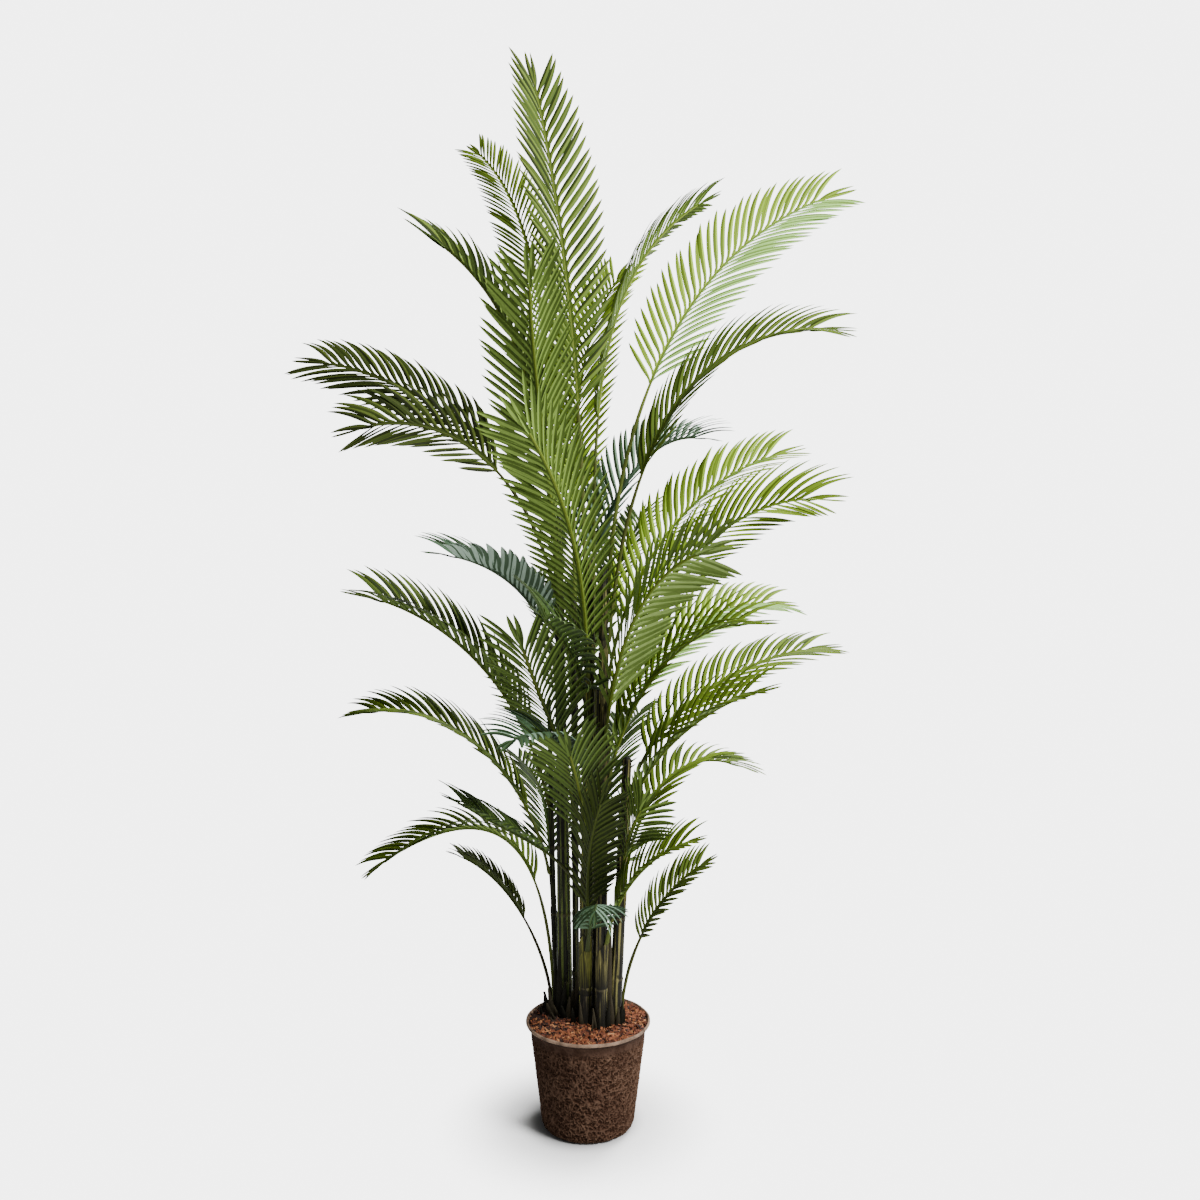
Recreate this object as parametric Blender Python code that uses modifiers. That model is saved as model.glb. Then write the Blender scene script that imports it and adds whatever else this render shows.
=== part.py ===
"""Artificial areca palm in a pressed-fibre pot, 2.1 m tall, in metres with +Z up.

The origin is the middle of the pot's flat underside, and -Y is the side that is looked at.
Seven canes stand in the pot. Each frond is a thin blade, cut to its rib between the leaflets,
whose stalk springs from a cane or, for three low ones, from the potting fill.
"""

import math
from collections import namedtuple

import bmesh
import bpy
import numpy as np
from mathutils import Vector
from mathutils.bvhtree import BVHTree

CLEARANCE = 0.0003
MERGE_DISTANCE = 0.00005
SMOOTH_ANGLE = 40

# Pot: a turned cup of pressed fibre with a rolled lip
POT_HEIGHT = 0.200
POT_FOOT_RADIUS = 0.0865
POT_NECK_RADIUS = 0.1105
POT_LIP_RADIUS = 0.1200
POT_LIP_HEIGHT = 0.006
POT_NECK_DROP = 0.016
POT_FLARE = 0.002
POT_FLARE_DROP = 0.010
POT_CORNER_RADIUS = 0.014
POT_WALL = 0.005
FLOOR_CHAMFER = 0.015
POT_SEGMENTS = 36
ARC_STEPS = 4

# Potting fill: a plug that leaves the lip standing a little above it
FILL_TOP = 0.190
FILL_EDGE = 0.006

# Canes: number, foot (x, y), top (x, y, z), radius at the foot and at the top
Cane = namedtuple("Cane", "number foot top foot_radius top_radius")
CANES = (
    Cane(1, (-0.045, 0.045), (-0.060, 0.050, 1.165), 0.0155, 0.0075),
    Cane(2, (-0.005, -0.010), (0.005, 0.000, 1.085), 0.0135, 0.0085),
    Cane(3, (0.010, 0.030), (0.015, 0.040, 0.830), 0.0100, 0.0065),
    Cane(4, (0.025, -0.030), (0.030, -0.035, 1.065), 0.0120, 0.0080),
    Cane(5, (0.050, -0.010), (0.075, -0.010, 0.700), 0.0130, 0.0090),
    Cane(6, (-0.065, 0.075), (-0.080, 0.085, 0.805), 0.0055, 0.0045),
    Cane(7, (-0.025, 0.075), (-0.030, 0.100, 1.000), 0.0075, 0.0055),
)
CANE_SIDES = 12
CANE_FLARE = 1.10
CANE_FLARE_HEIGHT = 0.035
CANE_CUTS = 4
CANE_FOOT = FILL_TOP + CLEARANCE

# Fronds: cane (0 is the fill, with the foot's x and y in place of a height), height that the
# stalk leaves at, how far it leans out there, a point half way along, the furthest tip, the way
# its upper side faces, the bare share of its length, its shade, and where they differ from the
# rest the leaflets' lift in degrees, their length and how far the lowest open from the rib in degrees
Frond = namedtuple(
    "Frond",
    "number cane leaves lean middle tip faces bare shade lift leaflet opening",
    defaults=(18, 0.15, 50),
)
FRONDS = (
    Frond(1, 2, 1.02, 0.2, (-0.048, 0.03, 1.675), (-0.122, 0.06, 2.098), (0.55, -1, 0.25), 0.36, "mid"),
    Frond(
        2, 1, 1.05, 0.2, (-0.145, 0.17, 1.8), (-0.273, 0.3, 2.022),
        (0, -1, 0.2), 0.38, "mid", 18, 0.105, 58,
    ),
    Frond(
        3, 1, 1.07, 0.4, (-0.158, -0.12, 1.523), (-0.309, -0.26, 1.637),
        (0.65, 0, 0.76), 0.42, "mid", 14, 0.15, 46,
    ),
    Frond(4, 1, 1.02, 0.3, (-0.09, -0.2, 1.42), (-0.084, -0.38, 1.563), (-0.15, 1, -0.3), 0.22, "mid"),
    Frond(5, 2, 0.94, 0.2, (0.105, 0.22, 1.72), (0.3, 0.32, 1.925), (-1, 0, 0.4), 0.42, "mid", 6, 0.13, 44),
    Frond(
        6, 4, 1.02, 0.1, (0.265, 0.14, 1.683), (0.571, 0.2, 1.885),
        (-0.1, -1, 0.45), 0.42, "lime", 10, 0.165, 48,
    ),
    Frond(
        7, 4, 0.93, 0.3, (0.18, -0.08, 1.385), (0.48, -0.16, 1.48),
        (-0.3, -0.6, 0.8), 0.42, "deep", 10, 0.145, 31,
    ),
    Frond(
        8, 1, 1.13, 0.6, (-0.315, 0.06, 1.398), (-0.6, 0.1, 1.492),
        (0.2, -0.85, 0.6), 0.36, "olive", 2, 0.15, 46,
    ),
    Frond(
        9, 1, 1.03, 0.9, (-0.19, -0.09, 1.266), (-0.447, -0.18, 1.289),
        (0.1, -0.9, 0.4), 0.5, "olive", 6, 0.13, 42,
    ),
    Frond(10, 2, 0.86, 0.6, (-0.055, -0.34, 1.205), (-0.125, -0.46, 1.315), (-0.1, 1, -0.1), 0.12, "mid"),
    Frond(
        11, 7, 0.93, 0.5, (0.13, 0.26, 1.32), (0.31, 0.42, 1.37),
        (-0.2, -0.4, 0.9), 0.25, "blue", 30, 0.16, 42,
    ),
    Frond(
        12, 4, 0.86, 0.4, (0.23, 0.08, 1.215), (0.445, 0.1, 1.315),
        (-0.3, -0.7, 0.7), 0.18, "lime", 14, 0.15, 46,
    ),
    Frond(
        13, 4, 0.82, 0.6, (0.265, -0.18, 1.145), (0.42, -0.32, 1.16),
        (-0.25, -0.75, 0.7), 0.25, "lime", 6, 0.15, 44,
    ),
    Frond(
        14, 4, 0.74, 0.5, (0.125, -0.26, 1.04), (0.235, -0.4, 1.085),
        (0.6, 1, -0.3), 0.12, "lime", 18, 0.15, 38,
    ),
    Frond(15, 4, 0.66, 0.5, (0.17, -0.1, 0.915), (0.335, -0.2, 0.955), (-0.2, -0.4, 1), 0.12, "mid"),
    Frond(16, 4, 0.7, 0.4, (0.21, 0.14, 0.95), (0.46, 0.24, 0.99), (-0.2, -0.75, 0.9), 0.2, "lime", 10),
    Frond(17, 5, 0.64, 0.4, (0.265, 0.08, 0.84), (0.525, 0.12, 0.91), (-0.2, -0.4, 0.9), 0.15, "mid", 8),
    Frond(18, 5, 0.6, 0.6, (0.205, -0.1, 0.785), (0.34, -0.2, 0.855), (-0.3, -0.35, 0.9), 0.15, "deep"),
    Frond(19, 5, 0.5, 0.4, (0.16, 0.06, 0.65), (0.345, 0.1, 0.645), (-0.1, -0.1, 1), 0.22, "deep", 8, 0.12),
    Frond(20, 5, 0.48, 0.3, (0.08, -0.12, 0.59), (0.12, -0.2, 0.695), (0.2, 1, -0.3), 0.15, "mid", 18, 0.12),
    Frond(
        21, 1, 0.86, 0.5, (-0.155, -0.16, 1.05), (-0.278, -0.28, 1.083),
        (0.2, -0.1, 1), 0.3, "blue", 30, 0.125, 42,
    ),
    Frond(
        22, 6, 0.6, 0.5, (-0.25, -0.06, 0.93), (-0.445, -0.14, 1.02),
        (0.2, -0.4, 1), 0.25, "deep", 30, 0.14, 46,
    ),
    Frond(23, 7, 0.56, 0.5, (-0.085, -0.2, 0.85), (-0.12, -0.32, 0.995), (0.1, 1, -0.1), 0.12, "mid"),
    Frond(
        24, 6, 0.46, 0.5, (-0.215, 0.02, 0.72), (-0.48, 0.02, 0.775),
        (0.15, -0.3, 1), 0.25, "deep", 14, 0.13, 36,
    ),
    Frond(
        25, 2, 0.44, 0.9, (-0.125, -0.14, 0.585), (-0.245, -0.24, 0.69),
        (0.1, -0.3, 1), 0.38, "deep", 18, 0.11, 44,
    ),
    Frond(
        26, 0, (-0.067, 0.04), 0.1, (-0.12, 0.06, 0.475), (-0.435, -0.02, 0.475),
        (0.2, -0.1, 1), 0.42, "mid", 18, 0.11, 42,
    ),
    Frond(
        27, 0, (-0.072, 0.06), 0.1, (-0.14, 0.1, 0.375), (-0.295, 0.12, 0.49),
        (0.5, 0, 0.8), 0.5, "olive", 30, 0.07, 40,
    ),
    Frond(28, 2, 0.5, 0.5, (-0.02, -0.18, 0.7), (-0.045, -0.28, 0.805), (0, 1, 0), 0.15, "mid"),
    Frond(29, 2, 0.37, 0.5, (0.005, -0.12, 0.555), (0.045, -0.2, 0.7), (0.4, 1, 0), 0.15, "mid", 18, 0.1),
    Frond(30, 2, 0.34, 1, (0.015, -0.14, 0.46), (0.005, -0.26, 0.45), (0, -0.5, 1), 0.2, "blue", -30, 0.1),
    Frond(
        31, 4, 0.36, 0.5, (0.095, -0.1, 0.505), (0.215, -0.18, 0.59),
        (-0.1, -0.4, 0.9), 0.2, "mid", 18, 0.1,
    ),
    Frond(
        32, 0, (0.065, 0.03), 0.1, (0.135, -0.02, 0.42), (0.245, -0.06, 0.53),
        (-0.2, -0.5, 0.9), 0.45, "mid", 18, 0.08,
    ),
    Frond(
        33, 2, 0.62, 0.7, (-0.08, -0.2, 0.768), (-0.135, -0.36, 0.762),
        (0.2, -0.3, 1), 0.2, "blue", 18, 0.12,
    ),
    Frond(34, 2, 0.76, 0.6, (-0.043, -0.24, 0.94), (-0.1, -0.4, 1.01), (0, -0.8, 0.6), 0.2, "deep"),
    Frond(35, 7, 0.95, 0.3, (-0.005, 0.275, 1.555), (0.1, 0.42, 1.8), (-0.2, -1, 0.4), 0.3, "lime"),
    Frond(36, 3, 0.7, 0.4, (-0.065, 0.3, 1.295), (-0.17, 0.46, 1.65), (0.2, -1, 0.4), 0.2, "deep"),
    Frond(37, 7, 0.8, 0.5, (0.07, 0.34, 1.095), (0.14, 0.54, 1.255), (0, 0.4, 1), 0.2, "deep"),
    Frond(38, 7, 0.66, 0.5, (-0.07, 0.34, 0.96), (-0.225, 0.54, 1.105), (0, 0.4, 1), 0.2, "deep"),
    Frond(39, 3, 0.5, 0.6, (0.07, 0.3, 0.695), (0.155, 0.48, 0.765), (0, 0.4, 1), 0.2, "deep", 18, 0.13),
    Frond(40, 6, 0.4, 0.6, (-0.11, 0.28, 0.585), (-0.215, 0.44, 0.65), (0, 0.4, 1), 0.2, "deep", 18, 0.12),
    Frond(41, 3, 0.4, 0.6, (0.045, 0.24, 0.42), (0.115, 0.38, 0.43), (0, 0.4, 1), 0.25, "deep", 18, 0.11),
)
SPLIT_AT_BEND = (9, 19, 24, 26, 30)
SPLIT_GAP = 0.00048

# Finishes: name, colour and roughness
FIBRE = ("Pressed fibre", (0.085, 0.052, 0.034), 0.95)
CRUMBLE = ("Bark crumble", (0.24, 0.09, 0.05), 0.95)
CANE_SKIN = ("Dark cane", (0.035, 0.034, 0.016), 0.55)
LEAF_ROUGHNESS = 0.45
LEAF_SHADES = {
    "mid": (0.075, 0.150, 0.030),
    "deep": (0.030, 0.075, 0.018),
    "lime": (0.170, 0.300, 0.055),
    "olive": (0.045, 0.070, 0.012),
    "blue": (0.035, 0.090, 0.050),
}

# Ribs: the curve's first handle as a share of its chords, and shares of the rib's length
RIB_FOOT_WIDTH = 0.0060
RIB_TIP_WIDTH = 0.0024
RIB_HANDLE = 0.3
RIB_SAMPLES = 160
STALK_STEPS = 6
TURN_SHARE = 0.35
FRAME_STEP = 0.02
SLEEVE_STATIONS = 24

# Leaflets: spacing and end leaflet as shares of a leaflet's length, and angles in degrees
ROOT_SPACING = 0.21
END_LEAFLET = 0.58
LEAFLET_PEAK = 0.52
LEAFLET_TAPER = 1.333
TIP_ANGLE = 30
DROOP = 0.06
LEAF_THICKNESS = 0.0018
LEAF_MARGIN = 0.0009
LIFT_TRIES = (0, 10, -10, 20, -20, 32, -32)
LENGTH_TRIES = (1.0, 0.8, 0.62, 0.45)

# Seating of a stalk's foot: rounds of moving it, and where its first stretch is measured
SEATING_ROUNDS = 6
SEATING_STATIONS = (0.0, 0.25, 0.5)
SEATING_SAMPLES = 25
FAR_APART = 1.0

Rib = namedtuple("Rib", "points run length inward")


def clear_scene():
    for item in list(bpy.data.objects):
        bpy.data.objects.remove(item, do_unlink=True)


def material(name, colour, roughness):
    made = bpy.data.materials.new(name)
    made.use_nodes = True
    shader = made.node_tree.nodes["Principled BSDF"]
    shader.inputs["Base Color"].default_value = (*colour, 1.0)
    shader.inputs["Roughness"].default_value = roughness
    shader.inputs["Metallic"].default_value = 0.0
    return made


def add_object(name, mesh, finish):
    made = bpy.data.objects.new(name, mesh)
    made.data.materials.append(finish)
    bpy.data.collections["Areca palm"].objects.link(made)
    return made


def turned(name, profile, finish):
    """A solid turned round the pot's axis from (radius, height) points that start and end on it."""
    mesh = bpy.data.meshes.new(name)
    points = [(radius, 0.0, height) for radius, height in profile]
    mesh.from_pydata(points, [(i, i + 1) for i in range(len(points) - 1)], [])
    made = add_object(name, mesh, finish)
    screw = made.modifiers.new("Turn", "SCREW")
    screw.steps = POT_SEGMENTS
    screw.render_steps = POT_SEGMENTS
    screw.use_merge_vertices = True
    screw.merge_threshold = MERGE_DISTANCE
    screw.use_smooth_shade = True
    return made


def wall_radius(height):
    """The outer radius of the pot's sloping wall at a height up to its neck."""
    share = height / (POT_HEIGHT - POT_NECK_DROP)
    return POT_FOOT_RADIUS + (POT_NECK_RADIUS - POT_FOOT_RADIUS) * share


def arc(middle, radius, start, end):
    """Points on an arc, in (radius, height), between two angles."""
    angles = [start + (end - start) * i / ARC_STEPS for i in range(ARC_STEPS + 1)]
    return [(middle[0] + radius * math.cos(a), middle[1] + radius * math.sin(a)) for a in angles]


def inner_wall(inset, rise):
    """The pot's inside from its floor's edge to its neck, or a line drawn further in and up."""
    floor_edge = wall_radius(POT_WALL) - FLOOR_CHAMFER - POT_WALL
    corners = [(floor_edge, POT_WALL), (wall_radius(FLOOR_CHAMFER) - POT_WALL, FLOOR_CHAMFER)]
    corners += [(POT_NECK_RADIUS - POT_WALL, POT_HEIGHT - POT_NECK_DROP)]
    return [(radius - inset, height + rise) for radius, height in corners]


def make_pot(finish):
    """The cup: up its inside, round the lip, down the wall and round the corner to its flat underside."""
    lip_radius = POT_LIP_HEIGHT / 2
    lip_middle = (POT_LIP_RADIUS - lip_radius, POT_HEIGHT - lip_radius)
    draft = math.atan((POT_NECK_RADIUS - POT_FOOT_RADIUS) / (POT_HEIGHT - POT_NECK_DROP))
    corner_inset = POT_CORNER_RADIUS * (1 - math.sin(draft)) / math.cos(draft)
    corner_middle = (POT_FOOT_RADIUS - corner_inset, POT_CORNER_RADIUS)
    profile = [(0.0, POT_WALL)] + inner_wall(0.0, 0.0)
    profile += arc(lip_middle, lip_radius, math.pi / 2, -math.pi / 2)
    profile += [(POT_NECK_RADIUS + POT_FLARE, POT_HEIGHT - POT_FLARE_DROP)]
    profile += [(POT_NECK_RADIUS, POT_HEIGHT - POT_NECK_DROP)]
    profile += arc(corner_middle, POT_CORNER_RADIUS, -draft, -math.pi / 2)
    profile += [(0.0, 0.0)]
    return turned("pot", profile, finish)


def make_fill(finish):
    """The plug of potting fill, flat where the canes stand and clear of the pot all round."""
    wall = inner_wall(CLEARANCE, CLEARANCE)
    neck_radius = wall[-1][0]
    profile = [(0.0, FILL_TOP), (neck_radius - FILL_EDGE, FILL_TOP)]
    profile += wall[::-1] + [(0.0, POT_WALL + CLEARANCE)]
    return turned("potting_fill", profile, finish)


def cane_axis(cane, height):
    foot = Vector((*cane.foot, CANE_FOOT))
    return foot.lerp(Vector(cane.top), (height - CANE_FOOT) / (cane.top[2] - CANE_FOOT))


def cane_radius(cane, height):
    share = (height - CANE_FOOT) / (cane.top[2] - CANE_FOOT)
    radius = cane.foot_radius + (cane.top_radius - cane.foot_radius) * share
    flare = max(0.0, 1 - (height - CANE_FOOT) / CANE_FLARE_HEIGHT)
    return radius * (1 + (CANE_FLARE - 1) * flare)


def make_cane(cane, finish):
    """A round stick with level ends, cut across at several heights to take the cane's lean and taper."""
    length = cane.top[2] - CANE_FOOT
    shape = bmesh.new()
    bmesh.ops.create_cone(
        shape, cap_ends=True, segments=CANE_SIDES, radius1=1.0, radius2=1.0, depth=length
    )
    cuts = [CANE_FLARE_HEIGHT] + [length * i / CANE_CUTS for i in range(1, CANE_CUTS)]
    for cut in cuts:
        bmesh.ops.bisect_plane(
            shape,
            geom=shape.verts[:] + shape.edges[:] + shape.faces[:],
            plane_co=(0, 0, cut - length / 2),
            plane_no=(0, 0, 1),
        )
    for vertex in shape.verts:
        height = vertex.co.z + length / 2 + CANE_FOOT
        middle, radius = cane_axis(cane, height), cane_radius(cane, height)
        vertex.co = Vector((middle.x + vertex.co.x * radius, middle.y + vertex.co.y * radius, height))
    mesh = bpy.data.meshes.new(f"cane_{cane.number}")
    shape.to_mesh(mesh)
    shape.free()
    mesh.shade_smooth()
    mesh.set_sharp_from_angle(angle=math.radians(SMOOTH_ANGLE))
    return add_object(f"cane_{cane.number}", mesh, finish)


def fill_surface():
    """The level top of the fill as one square, which the low stalks stand on."""
    corners = ((-1, -1), (1, -1), (1, 1), (-1, 1))
    points = [Vector((x * POT_NECK_RADIUS, y * POT_NECK_RADIUS, FILL_TOP)) for x, y in corners]
    return points, [(0, 1, 2, 3)]


def pot_outside():
    """A plain cone round the pot and its lip, used to test for room."""
    shape = bmesh.new()
    bmesh.ops.create_cone(
        shape,
        cap_ends=True,
        segments=POT_SEGMENTS,
        radius1=POT_FOOT_RADIUS + LEAF_MARGIN,
        radius2=POT_LIP_RADIUS + LEAF_MARGIN,
        depth=POT_HEIGHT,
    )
    points = [vertex.co + Vector((0, 0, POT_HEIGHT / 2)) for vertex in shape.verts]
    faces = [tuple(vertex.index for vertex in face.verts) for face in shape.faces]
    shape.free()
    return points, faces


def unit(vector):
    return vector / np.linalg.norm(vector)


def seated_rib(frond, carrier):
    """The rib with its foot set 0.3 mm off the cane or the fill that carries it."""
    if frond.cane == 0:
        start, up = np.array([*frond.leaves, FILL_TOP]), np.array([0.0, 0.0, 1.0])
        outward, inward = up, unit((start - np.array(frond.middle)) * (1, 1, 0))
    else:
        cane = CANES[frond.cane - 1]
        start = np.array(cane_axis(cane, frond.leaves))
        up = unit(np.array(cane.top) - np.array([*cane.foot, CANE_FOOT]))
        outward = unit((np.array(frond.middle) - start) * (1, 1, 0))
        inward = -outward
        start += outward * cane_radius(cane, frond.leaves)
    reach = RIB_FOOT_WIDTH / 2
    for _ in range(SEATING_ROUNDS):
        rib = rib_through(frond, start + outward * reach, up, inward)
        reach += CLEARANCE - foot_gap(frond, rib, carrier)
    return rib_through(frond, start + outward * reach, up, inward)


def foot_gap(frond, rib, carrier):
    """The least distance from the stalk's first stretch to the surface that carries it."""
    stations = (0.0, frond.bare * rib.length / STALK_STEPS)
    edges = []
    for at in stations:
        middle, _, _, sideways = rib_frame(frond, rib, at)
        half = rib_width(rib, at) / 2
        edges.append((middle - sideways * half, middle + sideways * half))
    (left, right), (left_on, right_on) = edges
    normal = unit(np.cross(right_on - left, left_on - right))
    gap = FAR_APART
    for along in SEATING_STATIONS:
        low, high = left + (left_on - left) * along, right + (right_on - right) * along
        for across in np.linspace(0, 1, SEATING_SAMPLES):
            for face in (-1, 1):
                point = Vector(low + (high - low) * across + face * normal * RIB_FOOT_WIDTH / 2)
                nearest, outside, _, distance = carrier.find_nearest(point)
                gap = min(gap, math.copysign(distance, (point - nearest).dot(outside)))
    return gap


def rib_through(frond, foot, up, inward):
    """A smooth curve from the foot through the middle point, measured along, less the end leaflet."""
    middle, tip = np.array(frond.middle), np.array(frond.tip)
    to_middle, to_tip = np.linalg.norm(middle - foot), np.linalg.norm(tip - middle)
    start = unit(up + frond.lean * (middle - foot) / to_middle)
    first = foot + start * RIB_HANDLE * (to_middle + to_tip)
    t = to_middle / (to_middle + to_tip)
    second = middle - (1 - t) ** 3 * foot - 3 * (1 - t) ** 2 * t * first - t**3 * tip
    second /= 3 * (1 - t) * t * t
    t = np.linspace(0, 1, RIB_SAMPLES)[:, None]
    points = (1 - t) ** 3 * foot + 3 * (1 - t) ** 2 * t * first
    points += 3 * (1 - t) * t * t * second + t**3 * tip
    steps = np.linalg.norm(np.diff(points, axis=0), axis=1)
    run = np.concatenate([[0.0], np.cumsum(steps)])
    return Rib(points, run, run[-1] - END_LEAFLET * frond.leaflet, inward)


def rib_frame(frond, rib, at):
    """Point, forward, up and sideways directions of the rib at a distance along it.

    The stalk's upper side faces what carries it, and turns to the blade's way of facing further out.
    """
    step = FRAME_STEP * rib.length

    def point(distance):
        return np.array([np.interp(distance, rib.run, rib.points[:, k]) for k in range(3)])

    forward = unit(point(min(at + step, rib.length)) - point(max(at - step, 0.0)))
    turned_share = min(1.0, at / (TURN_SHARE * rib.length))
    turned_share *= turned_share * (3 - 2 * turned_share)
    upper = rib.inward + (unit(np.array(frond.faces)) - rib.inward) * turned_share
    upper = unit(upper - forward * (upper @ forward))
    return point(at), forward, upper, np.cross(forward, upper)


def rib_width(rib, at):
    return RIB_FOOT_WIDTH + (RIB_TIP_WIDTH - RIB_FOOT_WIDTH) * at / rib.length


def leaflet_tip(frond, frame, share, side, lift, scale):
    """Where a leaflet ends, by its share of the way up the blade: longest half way, closing to the tip."""
    root, forward, upper, sideways = frame
    length = frond.leaflet * scale * (1 - LEAFLET_TAPER * (share - LEAFLET_PEAK) ** 2)
    opening = math.radians(frond.opening + (TIP_ANGLE - frond.opening) * share)
    raised = math.radians(lift)
    outward = side * math.cos(raised) * sideways + math.sin(raised) * upper
    direction = math.cos(opening) * forward + math.sin(opening) * outward
    return root + unit(direction - np.array([0.0, 0.0, DROOP])) * length


def wedge(corners, root_half, tip_half):
    """A closed wedge on a leaflet's triangle, thickest at its root, used to test for room."""
    normal = unit(np.cross(corners[1] - corners[0], corners[2] - corners[0]))
    halves = (root_half, root_half, tip_half)
    points = [Vector(c + normal * half) for c, half in zip(corners, halves)]
    points += [Vector(c - normal * half) for c, half in zip(corners, halves)]
    faces = [(0, 1, 2), (5, 4, 3), (0, 3, 4, 1), (1, 4, 5, 2), (2, 5, 3, 0)]
    return points, faces


def rib_sleeve(frond, rib):
    """A square tube a little larger than the rib, used to test for room."""
    points, faces = [], []
    stations = np.linspace(0, rib.length, SLEEVE_STATIONS)
    for at in stations:
        middle, _, upper, sideways = rib_frame(frond, rib, at)
        half = rib_width(rib, at) / 2 + LEAF_MARGIN
        for a, b in ((-1, -1), (1, -1), (1, 1), (-1, 1)):
            points.append(Vector(middle + a * half * sideways + b * half * upper))
    for ring in range(len(stations) - 1):
        for side in range(4):
            here, there = 4 * ring + side, 4 * ring + (side + 1) % 4
            faces.append((here, there, there + 4, here + 4))
    return points, faces


class Room:
    """What is already placed, in search trees with their boxes, to test each leaflet against."""

    def __init__(self):
        self.placed = []

    def add(self, owner, points, faces):
        box = np.array([list(p) for p in points])
        tree = BVHTree.FromPolygons(points, faces)
        self.placed.append((owner, box.min(axis=0), box.max(axis=0), tree))

    def is_free(self, owner, points, faces):
        box = np.array([list(p) for p in points])
        low, high = box.min(axis=0), box.max(axis=0)
        tree = None
        for other, other_low, other_high, other_tree in self.placed:
            if other == owner or (low > other_high).any() or (high < other_low).any():
                continue
            tree = tree or BVHTree.FromPolygons(points, faces)
            if tree.overlap(other_tree):
                return False
        return True


def frond_surface(frond, rib, room):
    """The open blade: a strip along the rib with a pointed leaflet on each side of every step."""
    bare = frond.bare * rib.length
    pairs = round((rib.length - bare) / (ROOT_SPACING * frond.leaflet))
    stations = list(np.linspace(0, bare, STALK_STEPS + 1)[:-1])
    stations += list(np.linspace(bare, rib.length, pairs + 1))
    points, weights, faces = [], [], []
    for at in stations:
        middle, _, _, sideways = rib_frame(frond, rib, at)
        half = rib_width(rib, at) / 2
        points += [middle - sideways * half, middle + sideways * half]
        weights += [2 * half / RIB_FOOT_WIDTH] * 2
    for i in range(len(stations) - 1):
        faces.append((2 * i, 2 * i + 1, 2 * i + 3, 2 * i + 2))
    for step in range(pairs):
        here = STALK_STEPS + step
        share = (step + 0.5) / pairs
        frame = rib_frame(frond, rib, (stations[here] + stations[here + 1]) / 2)
        for side in (-1, 1):
            roots = (2 * here, 2 * here + 2) if side < 0 else (2 * here + 3, 2 * here + 1)
            root_half = weights[roots[0]] * RIB_FOOT_WIDTH / 2
            tip = free_tip(frond, frame, share, side, [points[i] for i in roots], root_half, room)
            if tip is None:
                continue
            points.append(tip)
            weights.append(LEAF_THICKNESS / RIB_FOOT_WIDTH)
            faces.append((roots[0], roots[1], len(points) - 1))
    last = 2 * (len(stations) - 1)
    middle, forward, _, _ = rib_frame(frond, rib, rib.length)
    points.append(middle + forward * END_LEAFLET * frond.leaflet)
    weights.append(LEAF_THICKNESS / RIB_FOOT_WIDTH)
    faces.append((last, last + 1, len(points) - 1))
    return points, weights, faces


def free_tip(frond, frame, share, side, roots, root_half, room):
    """The tip of the longest leaflet there is room for, raised or lowered past its neighbours, if any."""
    for scale in LENGTH_TRIES:
        for extra in LIFT_TRIES:
            tip = leaflet_tip(frond, frame, share, side, frond.lift + extra, scale)
            shape = wedge([*roots, tip], root_half + LEAF_MARGIN, LEAF_THICKNESS / 2 + LEAF_MARGIN)
            if room.is_free(frond.number, *shape):
                room.add(frond.number, *shape)
                return tip
    return None


def solid_blade(name, points, weights, faces, finish):
    """Gives an open strip its thickness: full along the rib and thin at the leaflets' tips."""
    used = sorted({corner for face in faces for corner in face})
    renumber = {old: new for new, old in enumerate(used)}
    mesh = bpy.data.meshes.new(name)
    kept = [tuple(points[i]) for i in used]
    mesh.from_pydata(kept, [], [tuple(renumber[i] for i in face) for face in faces])
    made = add_object(name, mesh, finish)
    group = made.vertex_groups.new(name="thickness")
    for i in used:
        group.add([renumber[i]], float(weights[i]), "REPLACE")
    solidify = made.modifiers.new("Thickness", "SOLIDIFY")
    solidify.thickness = RIB_FOOT_WIDTH
    solidify.offset = 0.0
    solidify.vertex_group = group.name
    solidify.thickness_vertex_group = 0.0
    return made


def make_frond(frond, rib, room, finish):
    """One solid for the frond, or a stalk and a blade where it bends round a wide gap."""
    points, weights, faces = frond_surface(frond, rib, room)
    name = f"frond_{frond.number:02d}"
    if frond.number not in SPLIT_AT_BEND:
        solid_blade(name, points, weights, faces, finish)
        return
    bend = 2 * STALK_STEPS
    stalk_points = list(points)
    forward = rib_frame(frond, rib, frond.bare * rib.length)[1]
    for corner in (bend, bend + 1):
        stalk_points[corner] = points[corner] - forward * SPLIT_GAP
    solid_blade(f"{name}_stalk", stalk_points, weights, faces[:STALK_STEPS], finish)
    solid_blade(f"{name}_blade", points, weights, faces[STALK_STEPS:], finish)


def main():
    clear_scene()
    bpy.context.scene.collection.children.link(bpy.data.collections.new("Areca palm"))
    cane_skin = material(*CANE_SKIN)
    leaves = {}
    for shade, colour in LEAF_SHADES.items():
        leaves[shade] = material(f"Palm leaf {shade}", colour, LEAF_ROUGHNESS)
    make_pot(material(*FIBRE))
    make_fill(material(*CRUMBLE))
    room = Room()
    room.add("pot", *pot_outside())
    carriers = {0: BVHTree.FromPolygons(*fill_surface())}
    for cane in CANES:
        made = make_cane(cane, cane_skin)
        points = [vertex.co.copy() for vertex in made.data.vertices]
        faces = [tuple(face.vertices) for face in made.data.polygons]
        room.add("cane", points, faces)
        carriers[cane.number] = BVHTree.FromPolygons(points, faces)
    ribs = {frond.number: seated_rib(frond, carriers[frond.cane]) for frond in FRONDS}
    for frond in FRONDS:
        room.add(frond.number, *rib_sleeve(frond, ribs[frond.number]))
    for frond in FRONDS:
        make_frond(frond, ribs[frond.number], room, leaves[frond.shade])


main()
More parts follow.
